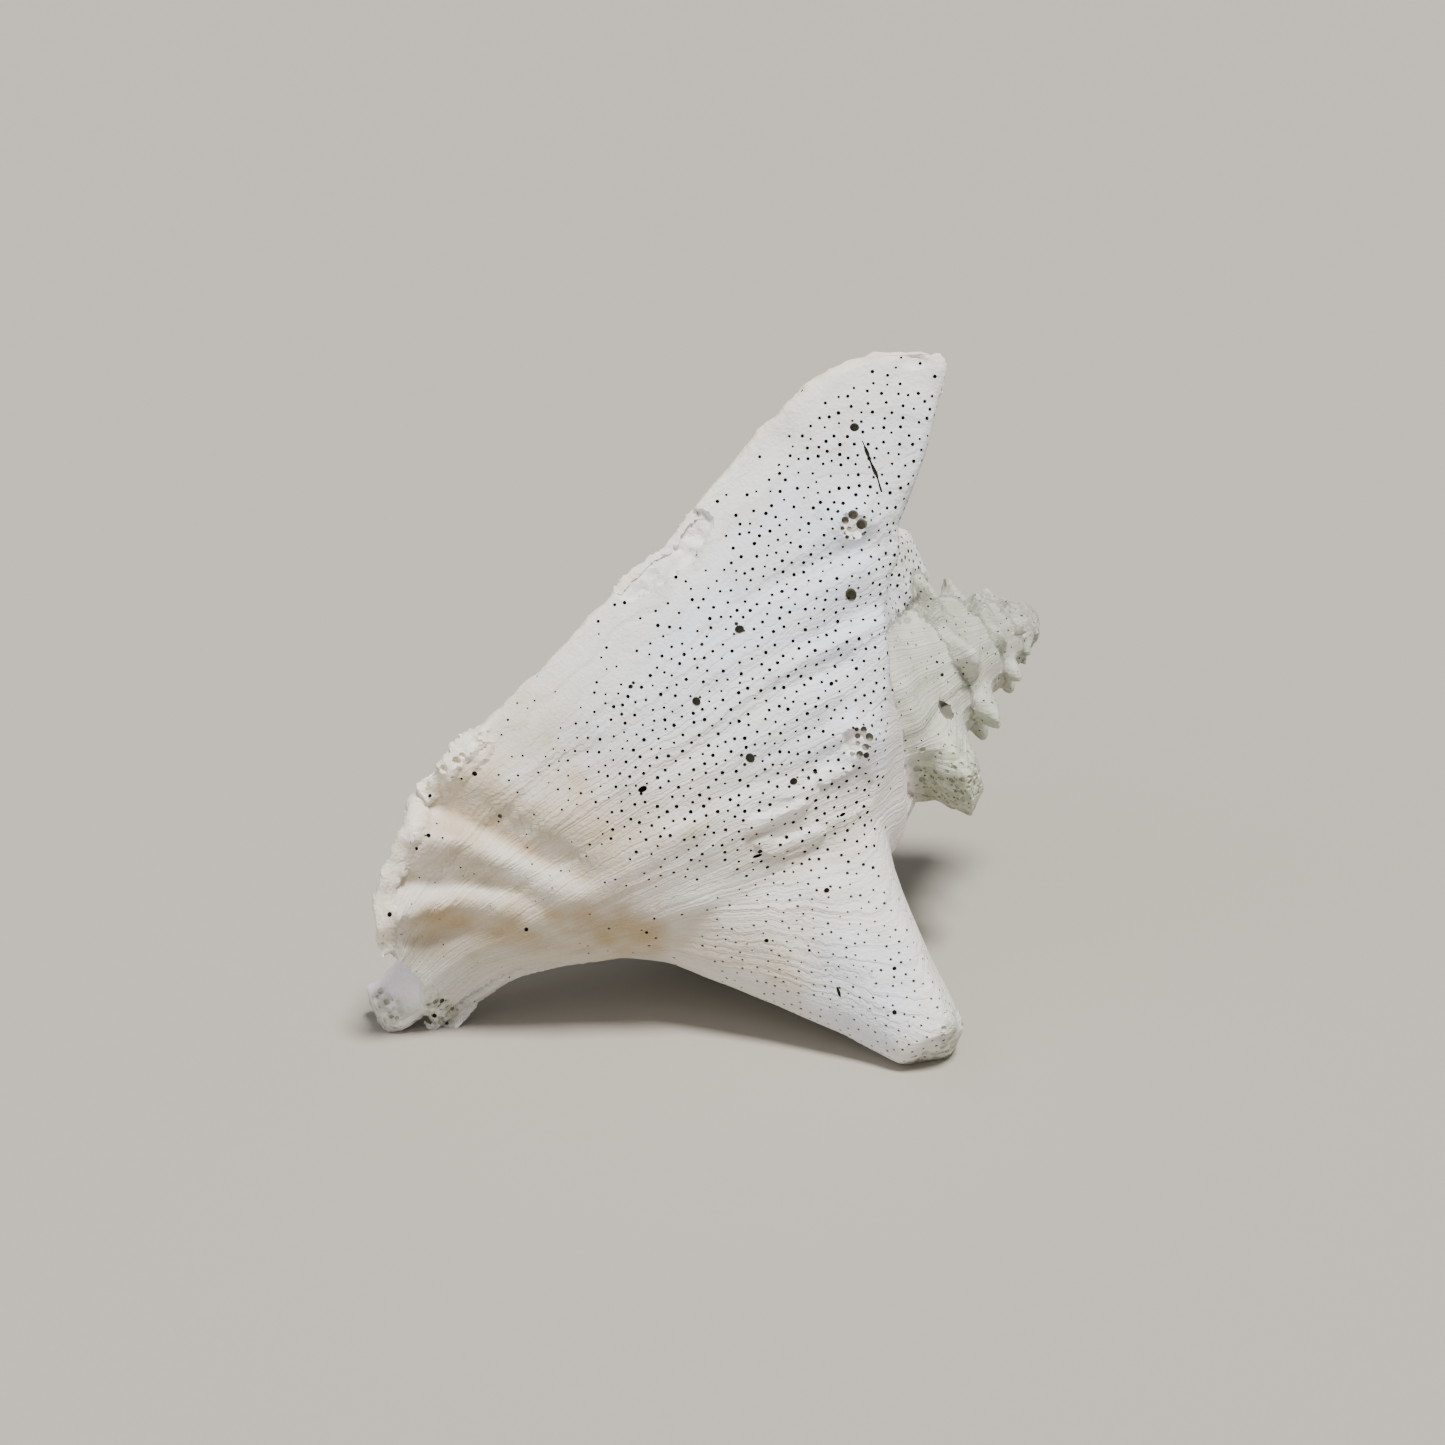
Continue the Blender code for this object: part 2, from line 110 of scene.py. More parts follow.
# Growth lines listed where the whorl opens into the lip: growth angle, then points front, up, along
LIP_ROWS = {
    -50: [
        (18, -33, 148), (35, -43, 134), (42, -47, 123), (43, -50, 112), (43, -49, 105),
        (42, -48, 97), (40, -46, 88), (38, -46, 78), (35, -45, 67), (31, -42, 57), (26, -39, 47),
        (21, -36, 37), (15, -32, 27), (5, -31, 15), (-7, -36, -2),
    ],
    -35: [
        (22, -25, 148), (44, -34, 136), (55, -36, 125), (58, -38, 113), (57, -38, 104),
        (56, -38, 95), (54, -37, 85), (51, -36, 74), (48, -35, 64), (41, -34, 53), (35, -32, 43),
        (28, -31, 33), (20, -29, 22), (12, -28, 11), (-2, -35, -5),
    ],
    -20: [
        (26, -15, 149), (51, -23, 139), (63, -24, 130), (68, -25, 122), (67, -26, 112),
        (66, -26, 102), (64, -26, 90), (60, -26, 78), (56, -26, 66), (50, -26, 54), (42, -26, 42),
        (34, -26, 31), (26, -25, 20), (17, -25, 8), (5, -30, -7),
    ],
    -8: [
        (30, -6, 148), (56, -11, 142), (70, -11, 135), (76, -11, 127), (75, -12, 113),
        (74, -13, 102), (71, -13, 89), (67, -14, 76), (62, -16, 63), (55, -16, 51), (48, -18, 39),
        (39, -19, 27), (30, -20, 16), (21, -21, 5), (13, -25, -7),
    ],
    5: [
        (29, 1, 151), (54, -1, 143), (69, 1, 139), (79, 5, 136), (78, 1, 121), (77, 0, 107),
        (74, -2, 93), (70, -4, 79), (65, -5, 65), (58, -7, 51), (50, -9, 38), (42, -11, 25),
        (33, -13, 13), (24, -15, 2), (17, -20, -9),
    ],
    18: [
        (24, 7, 163), (43, 12, 148), (62, 16, 144), (79, 18, 141), (80, 17, 128), (80, 16, 114),
        (78, 14, 99), (73, 11, 84), (68, 9, 68), (61, 6, 52), (54, 3, 37), (45, -1, 24),
        (37, -4, 10), (29, -9, -2), (21, -16, -11),
    ],
    28: [
        (14, 20, 179), (41, 27, 155), (63, 33, 153), (81, 36, 152), (84, 36, 138), (82, 33, 123),
        (79, 30, 105), (75, 26, 88), (69, 22, 71), (61, 18, 54), (55, 14, 37), (47, 8, 22),
        (39, 2, 7), (32, -4, -6), (23, -14, -12),
    ],
    34: [
        (16, 30, 180), (40, 38, 165), (70, 48, 165), (89, 53, 167), (88, 53, 153), (85, 50, 136),
        (81, 46, 116), (75, 40, 97), (69, 34, 77), (62, 28, 56), (55, 22, 37), (48, 16, 19),
        (41, 9, 4), (32, 0, -8), (23, -13, -13),
    ],
    38: [
        (17, 46, 179), (45, 42, 170), (85, 60, 174), (96, 75, 181), (92, 84, 167), (87, 85, 149),
        (79, 75, 123), (71, 61, 93), (65, 52, 72), (59, 44, 52), (54, 37, 34), (48, 29, 18),
        (40, 17, 1), (32, 3, -12), (24, -13, -15),
    ],
}

# Fuller ramp between suture and shoulder towards the lip: growth angles from and to, added radius
RAMP_FROM = -150.0
RAMP_TO = -65.0
RAMP_FULLNESS = (0.0, 2.5, 2.5)

# Shoulder spines of the last whorl: growth angle, length out, lean to the apex, half width in degrees,
# in columns to the suture and in columns to the canal, width of the blunt tip, hollowness of the flanks
SHOULDER_SPINES = [
    (-62.0, 49.8, 3.0, 34.0, 1.5, 6.4, 0.34, 1.35),
    (-125.0, 19.0, 0.0, 25.0, 2.6, 3.2, 0.14, 1.5),
    (-188.0, 15.0, 2.0, 23.0, 2.4, 3.0, 0.10, 1.6),
    (-243.0, 8.0, 1.0, 20.0, 2.2, 2.6, 0.10, 1.5),
]

# Spines of the spire: the thick one on the whorl before, then a row at even turns, shrinking
THICK_SPINE = (-416.0, 17.0, 34.0, 7.0, 0.42)
SPIRE_SPINE_FIRST = -500.0
SPIRE_SPINE_STEP = 45.0
SPIRE_SPINE_COUNT = 25
SPIRE_SPINE_LENGTH = 0.38
SPIRE_SPINE_UNEVEN = 0.2
SPIRE_SPINE_BEAT = 2.3
SPIRE_SPINE_WIDTH = 19.0
SPIRE_SPINE_DEPTH = 20.0
SPIRE_SPINE_BLUNT = 0.2
SPIRE_SPINE_HOLLOW = 1.3

# The columella, the shell's inner pillar: front, up, along the axis, radius
COLUMELLA = [
    (0, 0, 150, 12), (0, 0, 110, 13), (0, 0, 80, 12), (0, -2, 55, 11), (-2, -8, 32, 10),
    (-3, -15, 14, 9.5), (-4, -22, -2, 9), (-7, -26, -12, 8.5), (-9, -26, -18, 7.5),
]
COLUMELLA_STEPS = 4

# Folds of the lip's face in the front view from its centre: height, width, then the line's places
FOLDS = [
    (-6.4, 4.6, [(-79, -21), (-70.5, -25.5), (-58, -32), (-48, -37.5), (-37, -42)]),
    (-1.6, 1.6, [(-67, -20.8), (-58.7, -26.3), (-50.5, -30.5), (-38, -38), (-33.8, -41)]),
    (3.6, 4.4, [(-80, -32.5), (-70.5, -33), (-54.6, -39.5), (-41, -47)]),
    (-4.6, 3.4, [(-86.4, -42.6), (-76, -43.2), (-64, -43.4), (-54.6, -46), (-48, -50.2)]),
    (3.2, 3.4, [(-91, -55), (-79.5, -51), (-70.5, -49.5), (-60, -50.2)]),
    (-3.4, 2.8, [(-84.3, -59.1), (-72.6, -56.6), (-63, -55.9), (-57, -57.1)]),
    (1.6, 6.0, [(-66, -13.5), (-54.6, -19), (-38, -30), (-27.7, -37.7)]),
    (1.5, 3.0, [(-8, -29), (-18.7, -35), (-27, -41), (-36, -47)]),
    (-2.4, 6.0, [(14, 76), (4, 59), (-6, 38.5)]),
    (-3.0, 2.8, [(40, 49.4), (30, 44.5), (17.7, 39), (4, 33)]),
    (1.9, 3.0, [(38, 42), (28, 37), (15, 31)]),
    (-3.0, 2.8, [(42.3, 32.7), (33, 27.3), (20.7, 21.6), (9, 14.7), (-4, 7)]),
    (1.9, 3.0, [(38, 25), (26, 19), (13, 12.5)]),
    (-2.8, 2.6, [(34, 16.6), (25.6, 13.5), (14.8, 9), (5.2, 1.1), (-4, -6), (-16, -13)]),
    (1.8, 2.8, [(31, 8), (20, 2), (9, -6), (-3, -13)]),
    (-3.0, 2.4, [(33, -7), (25.6, -11.4), (18.2, -14.6), (8.1, -17), (-0.4, -20.2), (-14, -27)]),
]

# Worn knobs and humps on the face: right, up, width, rise; they are broken off flat near the top
KNOBS = [(36.6, -5.6, 6.0, 6.0), (35.8, 53.4, 5.6, 5.0), (31.0, -29.0, 7.0, 1.8), (28.0, -46.4, 4.6, 2.4)]
KNOB_CUT = 0.72

# Patches near the lip's edge where the outer layer flaked: rise, width, the line's places
PATCHES = [
    (-2.0, 5.2, [(-8.0, 53.5), (-11.5, 47.5), (-18.0, 43.0), (-25.0, 39.0)]),
    (0.6, 4.0, [(-66.5, -6.5), (-70.5, -11.5), (-77.5, -18.5)]),
]

# Where the face is stained tan, and where the fold valleys are darkened as painted shade: strength, width,
# the line's places
STAINS_AND_CREASE_SHADE = [
    (0.9, 10.0, [(-78, -55), (-58, -54), (-40, -56), (-22, -58)]),
    (0.45, 9.0, [(-22, -58), (2, -60), (20, -68)]),
    (0.8, 3.6, [(-79, -22), (-70, -26), (-58, -32), (-48, -37), (-34, -43)]),
    (0.8, 3.2, [(-86, -42), (-76, -43), (-64, -43), (-52, -47)]),
    (0.7, 2.6, [(-84, -59), (-72, -57), (-60, -57)]),
    (0.7, 7.0, [(-57, -2), (-46, -10), (-36, -18)]),
    (0.6, 2.6, [(-4, -27), (-19, -35), (-30, -43)]),
    (0.3, 6.0, [(4, -34), (24, -36), (34, -30)]),
    (0.4, 2.2, [(-51, 14), (-58, 3)]),
    (0.66, 24.0, [(-80, -30), (-52, -14), (-34, -34)]),
]
STAIN_UNEVEN = 0.35

# The folds rise between these growth angles, end this many columns past the shoulder, and fade along
FACE_FROM = -70.0
FACE_TO = -35.0
FACE_EDGE = 1.5
FOLD_FADE = 0.6

# Larger borings in the face, in the front view from its centre: right, up, radius
BORINGS = [
    (36.0, 80.5, 1.4), (35.2, 34.6, 1.9), (4.6, 25.4, 1.4), (-7.1, 5.7, 1.4), (-25.1, 9.8, 0.8),
    (7.6, -9.8, 1.5), (19.4, -16.1, 1.2), (-60.8, -25.6, 0.8), (29.7, 10.6, 0.7),
    (-80.2, -30.8, 0.7), (-53.5, -56.5, 0.7), (-20.7, -57.3, 0.5), (-18.6, -53.5, 0.4),
    (12.0, -59.5, 0.7), (23.7, -62.2, 0.5), (46.9, -67.1, 0.7), (46.9, -79.1, 0.8), (28.4, -45.8, 0.9),
    (40.0, 72.0, 0.7), (60.0, 13.0, 0.7), (58.5, 16.5, 0.5), (-79.8, -20.0, 0.6), (-67.6, -14.0, 0.8),
    (-90.8, -52.4, 0.8), (-87.6, -58.2, 0.8), (-83.4, -34.4, 0.5), (-78.6, -80.0, 0.8), (-75.2, -82.2, 0.6),
]

# Small cells crowded on top of the worn knobs: right, up, radius
CELLS = [
    (36.6, -1.9, 0.7), (40.1, -4.0, 1.3), (34.1, -4.0, 1.2), (33.8, -6.6, 1.1), (36.9, -5.7, 0.9),
    (36.9, -3.7, 1.0), (39.0, -6.7, 1.2), (37.4, -8.6, 1.1), (35.5, -8.4, 1.0), (39.3, -9.0, 0.9),
    (38.6, -1.9, 1.0), (35.6, 56.5, 1.4), (37.8, 53.9, 1.4), (33.6, 55.1, 1.2), (34.6, 52.9, 0.9),
    (35.9, 51.3, 1.0), (34.0, 50.6, 0.7), (32.8, 53.0, 0.7), (38.4, 51.4, 0.7),
]

# Long borings that ran along the surface: right, up, half length, half width, turn
SLITS = [
    (9.5, -36.4, 1.5, 0.45, 18.0), (32.8, -25.1, 1.0, 0.5, 28.0), (31.7, -73.6, 1.8, 0.5, -72.0),
    (-21.8, -18.2, 1.4, 0.85, 24.0), (61.6, 3.4, 3.4, 2.0, -48.0), (-76.5, -76.0, 0.9, 0.6, 60.0),
]
BORING_SIDES = 11
BORING_DEPTH = 2.4
BORING_SQUEEZE = 0.88
BORING_TURN = 97.0
CELL_DEPTH = 1.7
CELL_TURN = 61.0
PEG_RADII = (0.7, 1.25)

# The crack below the wing's tip: places right, up; then its half width, its depth and how uneven it is
CRACK = [(38.1, 76.8), (39.1, 74.6), (40.0, 72.0), (41.6, 68.5), (42.5, 66.0), (43.4, 62.8)]
CRACK_STEPS = 3
CRACK_WIDTH = 0.55
CRACK_DEPTH = 1.8
CRACK_ABOVE = 2.0
CRACK_ENDS = (0.35, 0.65)
CRACK_UNEVEN = 0.4
CRACK_BEAT = 5.1
CRACK_MOUTH = 1.6
CRACK_ROOT = 0.4

# How fine the grids and the skin are, and the block that wears the feet flat
FINE_STEP = 8
CORE_AROUND = 216
CORE_ALONG = 170
COLUMELLA_SIDES = 24
SMOOTH_FACTOR = 0.5
SMOOTH_ROUNDS = 4
GROUND_BLOCK = 400.0
GROUND_DEPTH = 20.0

# What the columns of the growth map hold, and the limits used in making it
MAP_PLACE = slice(0, 3)
MAP_GROWTH = 3
MAP_COLUMN = 4
MAP_EDGE = 5
MAP_CORE = 6
MAP_SLOPE = slice(7, 10)
MAP_NORMAL = slice(10, 13)
MAP_COLUMNS = 13
FAR_FROM_EDGE = 999.0
ANGLE_JUMP = 30.0
TINY = 1e-9
TINY_STEP = 1e-6

# Numbers that scatter the bits of a noise cell's place
HASH_AXES = (73856093, 19349663, 83492791)
HASH_SEED = 97561
HASH_FIRST = 1274126177
HASH_SECOND = 2246822519
HASH_WORD = 0xFFFFFFFF
HASH_VALUE = 0xFFFF

# Ovals of the front view: middle right and up, half width, half height
FOOT_END = (64.5, -86.0, 4.0, 7.0)
FOOT_SOLE = (58.0, -93.0, 6.0, 2.5)
CANAL_END = (-93.0, -79.0, 5.0, 5.0)
CANAL_LIP = (-77.0, -81.0, 4.0, 6.0)
STUB = (63.0, -16.0, 8.0, 9.0)
LEG = (36.0, -70.0, 24.0, 24.0)
LEG_CROWDED = (30.0, -64.0, 26.0, 28.0)
LEG_COOL = (38.0, -72.0, 12.0, 14.0)
LEG_SMOOTH = (26.0, -70.0, 32.0, 22.0)
LEG_PALE = (32.0, -70.0, 28.0, 24.0)
BACK_SPINE = (50.0, 42.0, 7.0, 13.0)
UPPER_SCAR = (31.0, -19.0, 8.0, 6.0)
LOWER_SCAR = (17.0, -28.5, 8.0, 6.0)
TIP_NOTCH = (52.5, 98.5, 2.4, 1.6)
TIP_SPIKE = (58.2, 96.0, 2.0, 3.0)
OVAL_REACH = 1.5

# The pitted bulge behind the wing, and how far it rises
BULGE = (50.5, 43.0, 3.8, 8.0)
BULGE_RISE = 2.4

# Where a share starts and over what width it eases to 1; below zero it eases to 1 the other way.
# Growth is in degrees, columns are those of the growth lines, and the rest is in millimetres
OUTER_DEPTH = (2.2, -1.2)
INNER_DEPTH = (2.4, 1.2)
FACE_GROWTH = (-75.0, 20.0)
SPIRE_COLUMN = (5.2, -0.6)
RIM_LOW = (8.0, -20.0)
RAMP_COLUMN = (3.0, -0.8)
RAMP_GROWTH = (20.0, -12.0)
LOW_UP = (-34.0, -15.0)
FLANK_GROWTH = (2.0, 10.0)
FLANK_COLUMN = (3.2, -0.8)
WING_UP = (45.0, 30.0)
WING_TOP = (80.0, 10.0)
WING_SMOOTH_UP = (10.0, 30.0)
COOL_UP = (-24.0, 20.0)
COOL_EDGE = (8.0, 14.0)
SMALL_PITS = (-20.0, -30.0)
CHIP_EDGE = (5.0, -3.0)
CHIP_LOW = (4.0, -20.0)

# The rim: its width, how much wider it is low down, how far it wanders, and how softly it ends
RIM_WIDTH = 3.2
RIM_WIDER = 2.6
RIM_WANDER = 2.0
RIM_END = 2.0

# Noise in layers: strength, size of its cells, seed
SLOW_NOISE = ((1.0, 14.0, 3),)
FINE_NOISE = ((1.0, 5.0, 4),)
LINE_WANDER = ((3.0, 22.0, 11),)
RIDGES = ((0.6, 5.2, 1), (0.4, 2.6, 2))
CORDS = ((0.5, 8.0, 5),)
WAVES = ((1.1, 14.0, 10),)
LUMPS = ((0.4, 9.0, 6),)
ROUGH = ((0.7, 4.2, 7), (0.5, 2.1, 8))
RAGGED = ((0.9, 8.0, 12), (0.9, 3.4, 13))
BROKEN = ((1.0, 4.5, 14),)
FLAKES = ((4.0, 3.2, 15),)
LAYERS = ((3.0, 4.0, 17),)
LAYER_EDGES = ((1.5, 2.4, 18),)
SPIRE_LUMPS = ((0.35, 3.2, 9), (0.4, 7.0, 16))
CHIP_NOISE = ((0.8, 8.0, 21),)

# The noise of the growth lines is stretched: along the growth, across it, and apart for the core
GROWTH_SPAN = 1.15
COLUMN_SPAN = 10.0
CORE_APART = 50.0
RIDGE_STRETCH = 0.10
CORD_STRETCH = 0.12
FLAKE_STRETCH = 0.24
LAYER_STRETCH = (0.4, 0.3)
LAYER_STEPS = 3.0

# How much smoother the ramp, the wing's edge and the leg are
RAMP_SMOOTH = 0.7
WING_SMOOTH = 0.6
LEG_RIDGES = 0.85
WAVE_SMOOTH = 0.8
WING_SMOOTH_EDGE = 24.0

# How rough the worn places are, and how far they rise or sink
SCAR_ROUGH = 0.3
POROUS_ROUGH = 1.1
KNOB_ROUGH = 0.7
RIM_ROUGH = 0.8
MOST_ROUGH = 1.2
ROUGH_HEIGHT = 0.5
RIM_RAGGED = (0.4, 0.6)
RIM_RISE = (-0.3, 0.9)
LAYER_HEIGHT = 1.3
LAYER_PATCH = (1.4, -0.7)
LAYER_RIM = 0.7
MOST_LAYERS = 1.4
FLAKE_HEIGHT = 1.7
FLAKE_SINK = 0.4
CRATER_DEPTH = 2.2
NOTCH_DEPTH = 1.2
SPIKE_SHIFT = (1.0, 0.0, 2.2)
HIGH_KNOB = 3.0
CRATER_SIZE = 0.75
CRATER_EDGE = 4.0
PATCH_REACH = 1.25
PATCH_EDGE = 0.5
CRISP_NOISE = 0.45
CRISP_EDGE = 5.0

# Where the pits crowd on the face: bare width at the edge, how much less on the wing, how ragged it is,
# the width over which they crowd, how much less on the wing; then the sloping line below which they thin
BARE_EDGE = 9.0
BARE_WING = 6.0
BARE_RAGGED = 3.0
CROWD_WIDTH = 16.0
CROWD_WING = 7.0
THIN_SLOPE = 0.55
THIN_LINE = 62.0
THIN_WANDER = 8.0
THIN_WIDTH = 34.0

# How many pits there are: where there are fewest, and what is added; then what is taken away
FACE_PITS = (0.16, 0.84)
BACK_PITS = (0.35, 0.4)
SPIRE_PITS = (0.5, 0.35)
LEG_PITS = 0.9
LOW_THINNING = 0.25
RAMP_THINNING = 0.95
RIM_THINNING = 0.8
BULGE_PIT_SIZE = 0.2
LOW_PIT_SIZE = 0.2
HIDDEN_PIT_SIZE = 0.3
LEFT_PIT_SIZE = 0.35
PIT_SIZES = (0.45, 1.2)
RIM_CHIPS = 0.3
CHIPS_UP = (0.1, 0.9)
POROUS_CHIPS = 0.9
POROUS_CHIP_SIZE = 0.35

# The nodes that bore the shell: inputs in metres, most points to a square metre, seeds and sizes
PIT_INPUTS = (
    ("Pit gap", 0.003), ("Pit radius", 0.0006), ("Pit depth", 0.0014),
    ("Chip gap", 0.0017), ("Chip radius", 0.0009),
)
PIT_SIDES = 6
PIT_REACH = 1.5
PIT_DENSITY = 700000.0
PIT_UNEVEN = (0.75, 1.25, 2)
CHIP_DENSITY = 400000.0
CHIP_SEED = 5
CHIP_UNEVEN = (0.3, 2.1, 7)

# The finish's layers from the first to the last: colour, the share it follows, the patches it is broken
# into (scale, where they start and are full), strength
FINISH_LAYERS = [
    ("cool", "cool", (28.0, 0.25, 0.55), 0.9),
    ("stain", "streak", None, 0.28),
    # The stain share is partly real tan stain and partly painted shade in the fold valleys
    ("stain", "stain", (45.0, 0.0, 0.5), 1.0),
    ("stain", None, (110.0, 0.58, 0.78), 0.35),
    ("cream", "rim", None, 0.7),
    ("pink", "ramp", None, 0.8),
    ("lilac", "inner", None, 1.0),
    ("stain", "patch", (350.0, 0.5, 0.65), 0.5),
    ("algae", "spire", (90.0, -0.3, 0.8), 0.75),
    ("algae", "porous", (300.0, 0.42, 0.56), 0.7),
]
PATCH_DETAIL = 3.0
GRAIN = (900.0, 0.3, 0.7)
GRAIN_DETAIL = 4.0
GRAIN_HEIGHT = 0.25
BUMP_STRENGTH = 0.8
BUMP_DISTANCE = 0.0008
SHELL_ROUGHNESS = 0.8
PIT_ROUGHNESS = 0.95
STREAK_SIZE = 0.8
STREAK_DARK = (0.5, 0.72)
STREAK_WARP = 60.0
STREAK_SWAY = 4.0
STREAK_DETAIL = 3.0
STREAK_ROUGHNESS = 0.6
COOL_WANDER = 6.0
COOL_ON_LEG = 0.8

# How pale the walls of holes are against their painted shade: low down, on the spire and on the leg; in the
# crack, borings and cells
PIT_PALLOR = 0.4
PALE_STRENGTH = 0.8
CRACK_PALLOR = 0.3
BORING_PALLOR = 0.5
CELL_PALLOR = 0.6
PALLOR_REACH = 1.6
PALLOR_DEPTH = 6.0
SHARP_ANGLE = 38.0

# The stage: the lamps have a place they shine from, a spread in degrees, a share of the light and a colour
FLOOR_SIZE = 6.0
FLOOR_ROUGHNESS = 0.9
SKY_COLOUR = (0.86, 0.88, 0.92, 1.0)
SENSOR_WIDTH = 36.0
LAMPS = [
    ("window", (0.20, -0.42, 1.0), 14.0, 1.0, (1.0, 0.98, 0.96)),
    ("fill", (-0.8, -0.7, 0.5), 60.0, 0.16, (0.90, 0.94, 1.0)),
]


# Growth


def unit(vector):
    """A vector made one long."""
    vector = np.asarray(vector, dtype=float)
    return vector / np.linalg.norm(vector)


def shell_frame():
    """The three directions of the shell's frame: front, up and along the axis."""
    turn = math.radians(AXIS_TURN)
    rise = math.radians(AXIS_RISE)
    along = np.array([math.cos(rise) * math.cos(turn), math.cos(rise) * math.sin(turn), math.sin(rise)])
    toward = view_direction()
    front = unit(toward - toward.dot(along) * along)
    return np.array([front, np.cross(front, along), along])


def view_direction():
    """From the shell to where the front view is taken from."""
    drop = math.radians(VIEW_DROP)
    return np.array([0.0, -math.cos(drop), math.sin(drop)])


def to_world(points):
    """Shell frame to world, still in millimetres."""
    return np.asarray(points, dtype=float) @ shell_frame() + np.array(FOOT) - np.array(STAND)


def front_view(points):
    """Where world points, in millimetres, appear in the front view: right and up from its centre."""
    drop = math.radians(VIEW_DROP)
    points = points + np.array(STAND) - np.array([0.0, 0.0, VIEW_HEIGHT])
    up = points @ np.array([0.0, math.sin(drop), math.cos(drop)])
    shrink = 1.0 - points @ view_direction() / VIEW_DISTANCE
    return points[..., 0] / shrink, up / shrink


def view_point(right, up, near):
    """The world point that appears at a place in the front view, at a distance in front of its plane."""
    drop = math.radians(VIEW_DROP)
    shrink = 1.0 - near / VIEW_DISTANCE
    flat = np.array([right * shrink, up * shrink * math.sin(drop), up * shrink * math.cos(drop)])
    return flat + near * view_direction() + np.array([0.0, 0.0, VIEW_HEIGHT]) - np.array(STAND)


def growth_scale(angle):
    """Size of the shell's section at a growth angle in degrees; 1 where the last whorl faces the front."""
    return WHORL_RATIO ** (np.asarray(angle, dtype=float) / 360.0)


def ease(value):
    """A smooth step from 0 to 1."""
    value = np.clip(value, 0.0, 1.0)
    return value * value * (3.0 - 2.0 * value)


def eased(value, span):
    """A smooth step from 0 to 1 that starts at the span's first number and takes the second to rise."""
    start, width = span
    return ease((value - start) / width)


def linear(pair, share):
    """The pair's first number and, by a share, its second."""
    return pair[0] + pair[1] * share


def smooth_rows(values, steps):
    """A Catmull-Rom spline through the rows of an array, with a number of steps for each span."""
    values = np.asarray(values, dtype=float)
    padded = np.concatenate([[2 * values[0] - values[1]], values, [2 * values[-1] - values[-2]]])
    result = []
    for start in range(len(values) - 1):
        before, here, there, after = padded[start:start + 4]
        for step in range(steps):
            t = step / steps
            square = 2 * before - 5 * here + 4 * there - after
            cube = 3 * here - before - 3 * there + after
            result.append(0.5 * (2 * here + (there - before) * t + square * t ** 2 + cube * t ** 3))
    result.append(values[-1])
    return np.array(result)


def bend_at(height, bend=CANAL_BEND):
    """How far the canal's middle line lies away from the axis."""
    heights, bends = zip(*bend)
    return np.interp(height, heights, bends, right=bends[-1])


def round_row(angle):
    """A growth line of the body whorl in the shell's frame."""
    scale = growth_scale(angle)
    stretch = CANAL_STRETCH * ease((angle - CANAL_STRETCH_FROM) / (CANAL_STRETCH_TO - CANAL_STRETCH_FROM))
    fullness = ease((angle - RAMP_FROM) / (RAMP_TO - RAMP_FROM))
    row = []
    for column, (height, radius) in enumerate(GROWTH_LINE):
        reach = ease((column - CANAL_STRETCH_COLUMN) / (len(GROWTH_LINE) - 1 - CANAL_STRETCH_COLUMN))
        height = height * scale * (1.0 + stretch * reach)
        radius = radius * scale
        if column < len(RAMP_FULLNESS):
            radius += RAMP_FULLNESS[column] * fullness
        if column == len(GROWTH_LINE) - 1:
            open_share = ease((angle - CANAL_SHUT_TO) / (CANAL_OPEN_FROM - CANAL_SHUT_TO))
            radius = CANAL_SHUT_RADIUS + (radius - CANAL_SHUT_RADIUS) * open_share
        turn = math.radians(angle)
        front = radius * math.cos(turn) - bend_at(height, CANAL_BACK)
        row.append((front, radius * math.sin(turn) - bend_at(height), AXIS_LENGTH - height))
    return row


def spine_push(angles, columns):
    """How far the shoulder spines move each point of the sheet, in the shell's frame."""
    push = np.zeros(angles.shape + (3,))
    for turn, length, lean, half_turn, to_suture, to_canal, blunt, hollow in SHOULDER_SPINES:
        across = columns - SHOULDER_COLUMN
        away = np.hypot((angles - turn) / half_turn, across / np.where(across < 0.0, to_suture, to_canal))
        away = np.clip((away - blunt) / (1.0 - blunt), 0.0, 1.0)
        weight = (1.0 - away) ** hollow
        out = np.array([math.cos(math.radians(turn)), math.sin(math.radians(turn)), 0.0]) * length
        out[2] = lean
        push += weight[..., None] * out
    return push


def line_distance(right, up, line):
    """Distance from places in the front view to a broken line, and their share of the way along it."""
    best = np.full(right.shape, 1e9)
    along = np.zeros(right.shape)
    spans = len(line) - 1
    for index in range(spans):
        start = np.array(line[index], dtype=float)
        span = np.array(line[index + 1], dtype=float) - start
        reach = (right - start[0]) * span[0] + (up - start[1]) * span[1]
        share = np.clip(reach / span.dot(span), 0.0, 1.0)
        away = np.hypot(right - start[0] - share * span[0], up - start[1] - share * span[1])
        along = np.where(away < best, (index + share) / spans, along)
        best = np.minimum(best, away)
    return best, along


def face_relief(right, up):
    """Height of the folds and worn knobs on the lip's face."""
    height = np.zeros(right.shape)
    for depth, width, line in FOLDS:
        away, along = line_distance(right, up, line)
        height += depth * np.exp(-(away / width) ** 2) * (1.0 - FOLD_FADE * along)
    for knob_right, knob_up, size, rise in KNOBS:
        share = np.exp(-((right - knob_right) ** 2 + (up - knob_up) ** 2) / size ** 2)
        height += rise * np.minimum(share, KNOB_CUT)
    return height


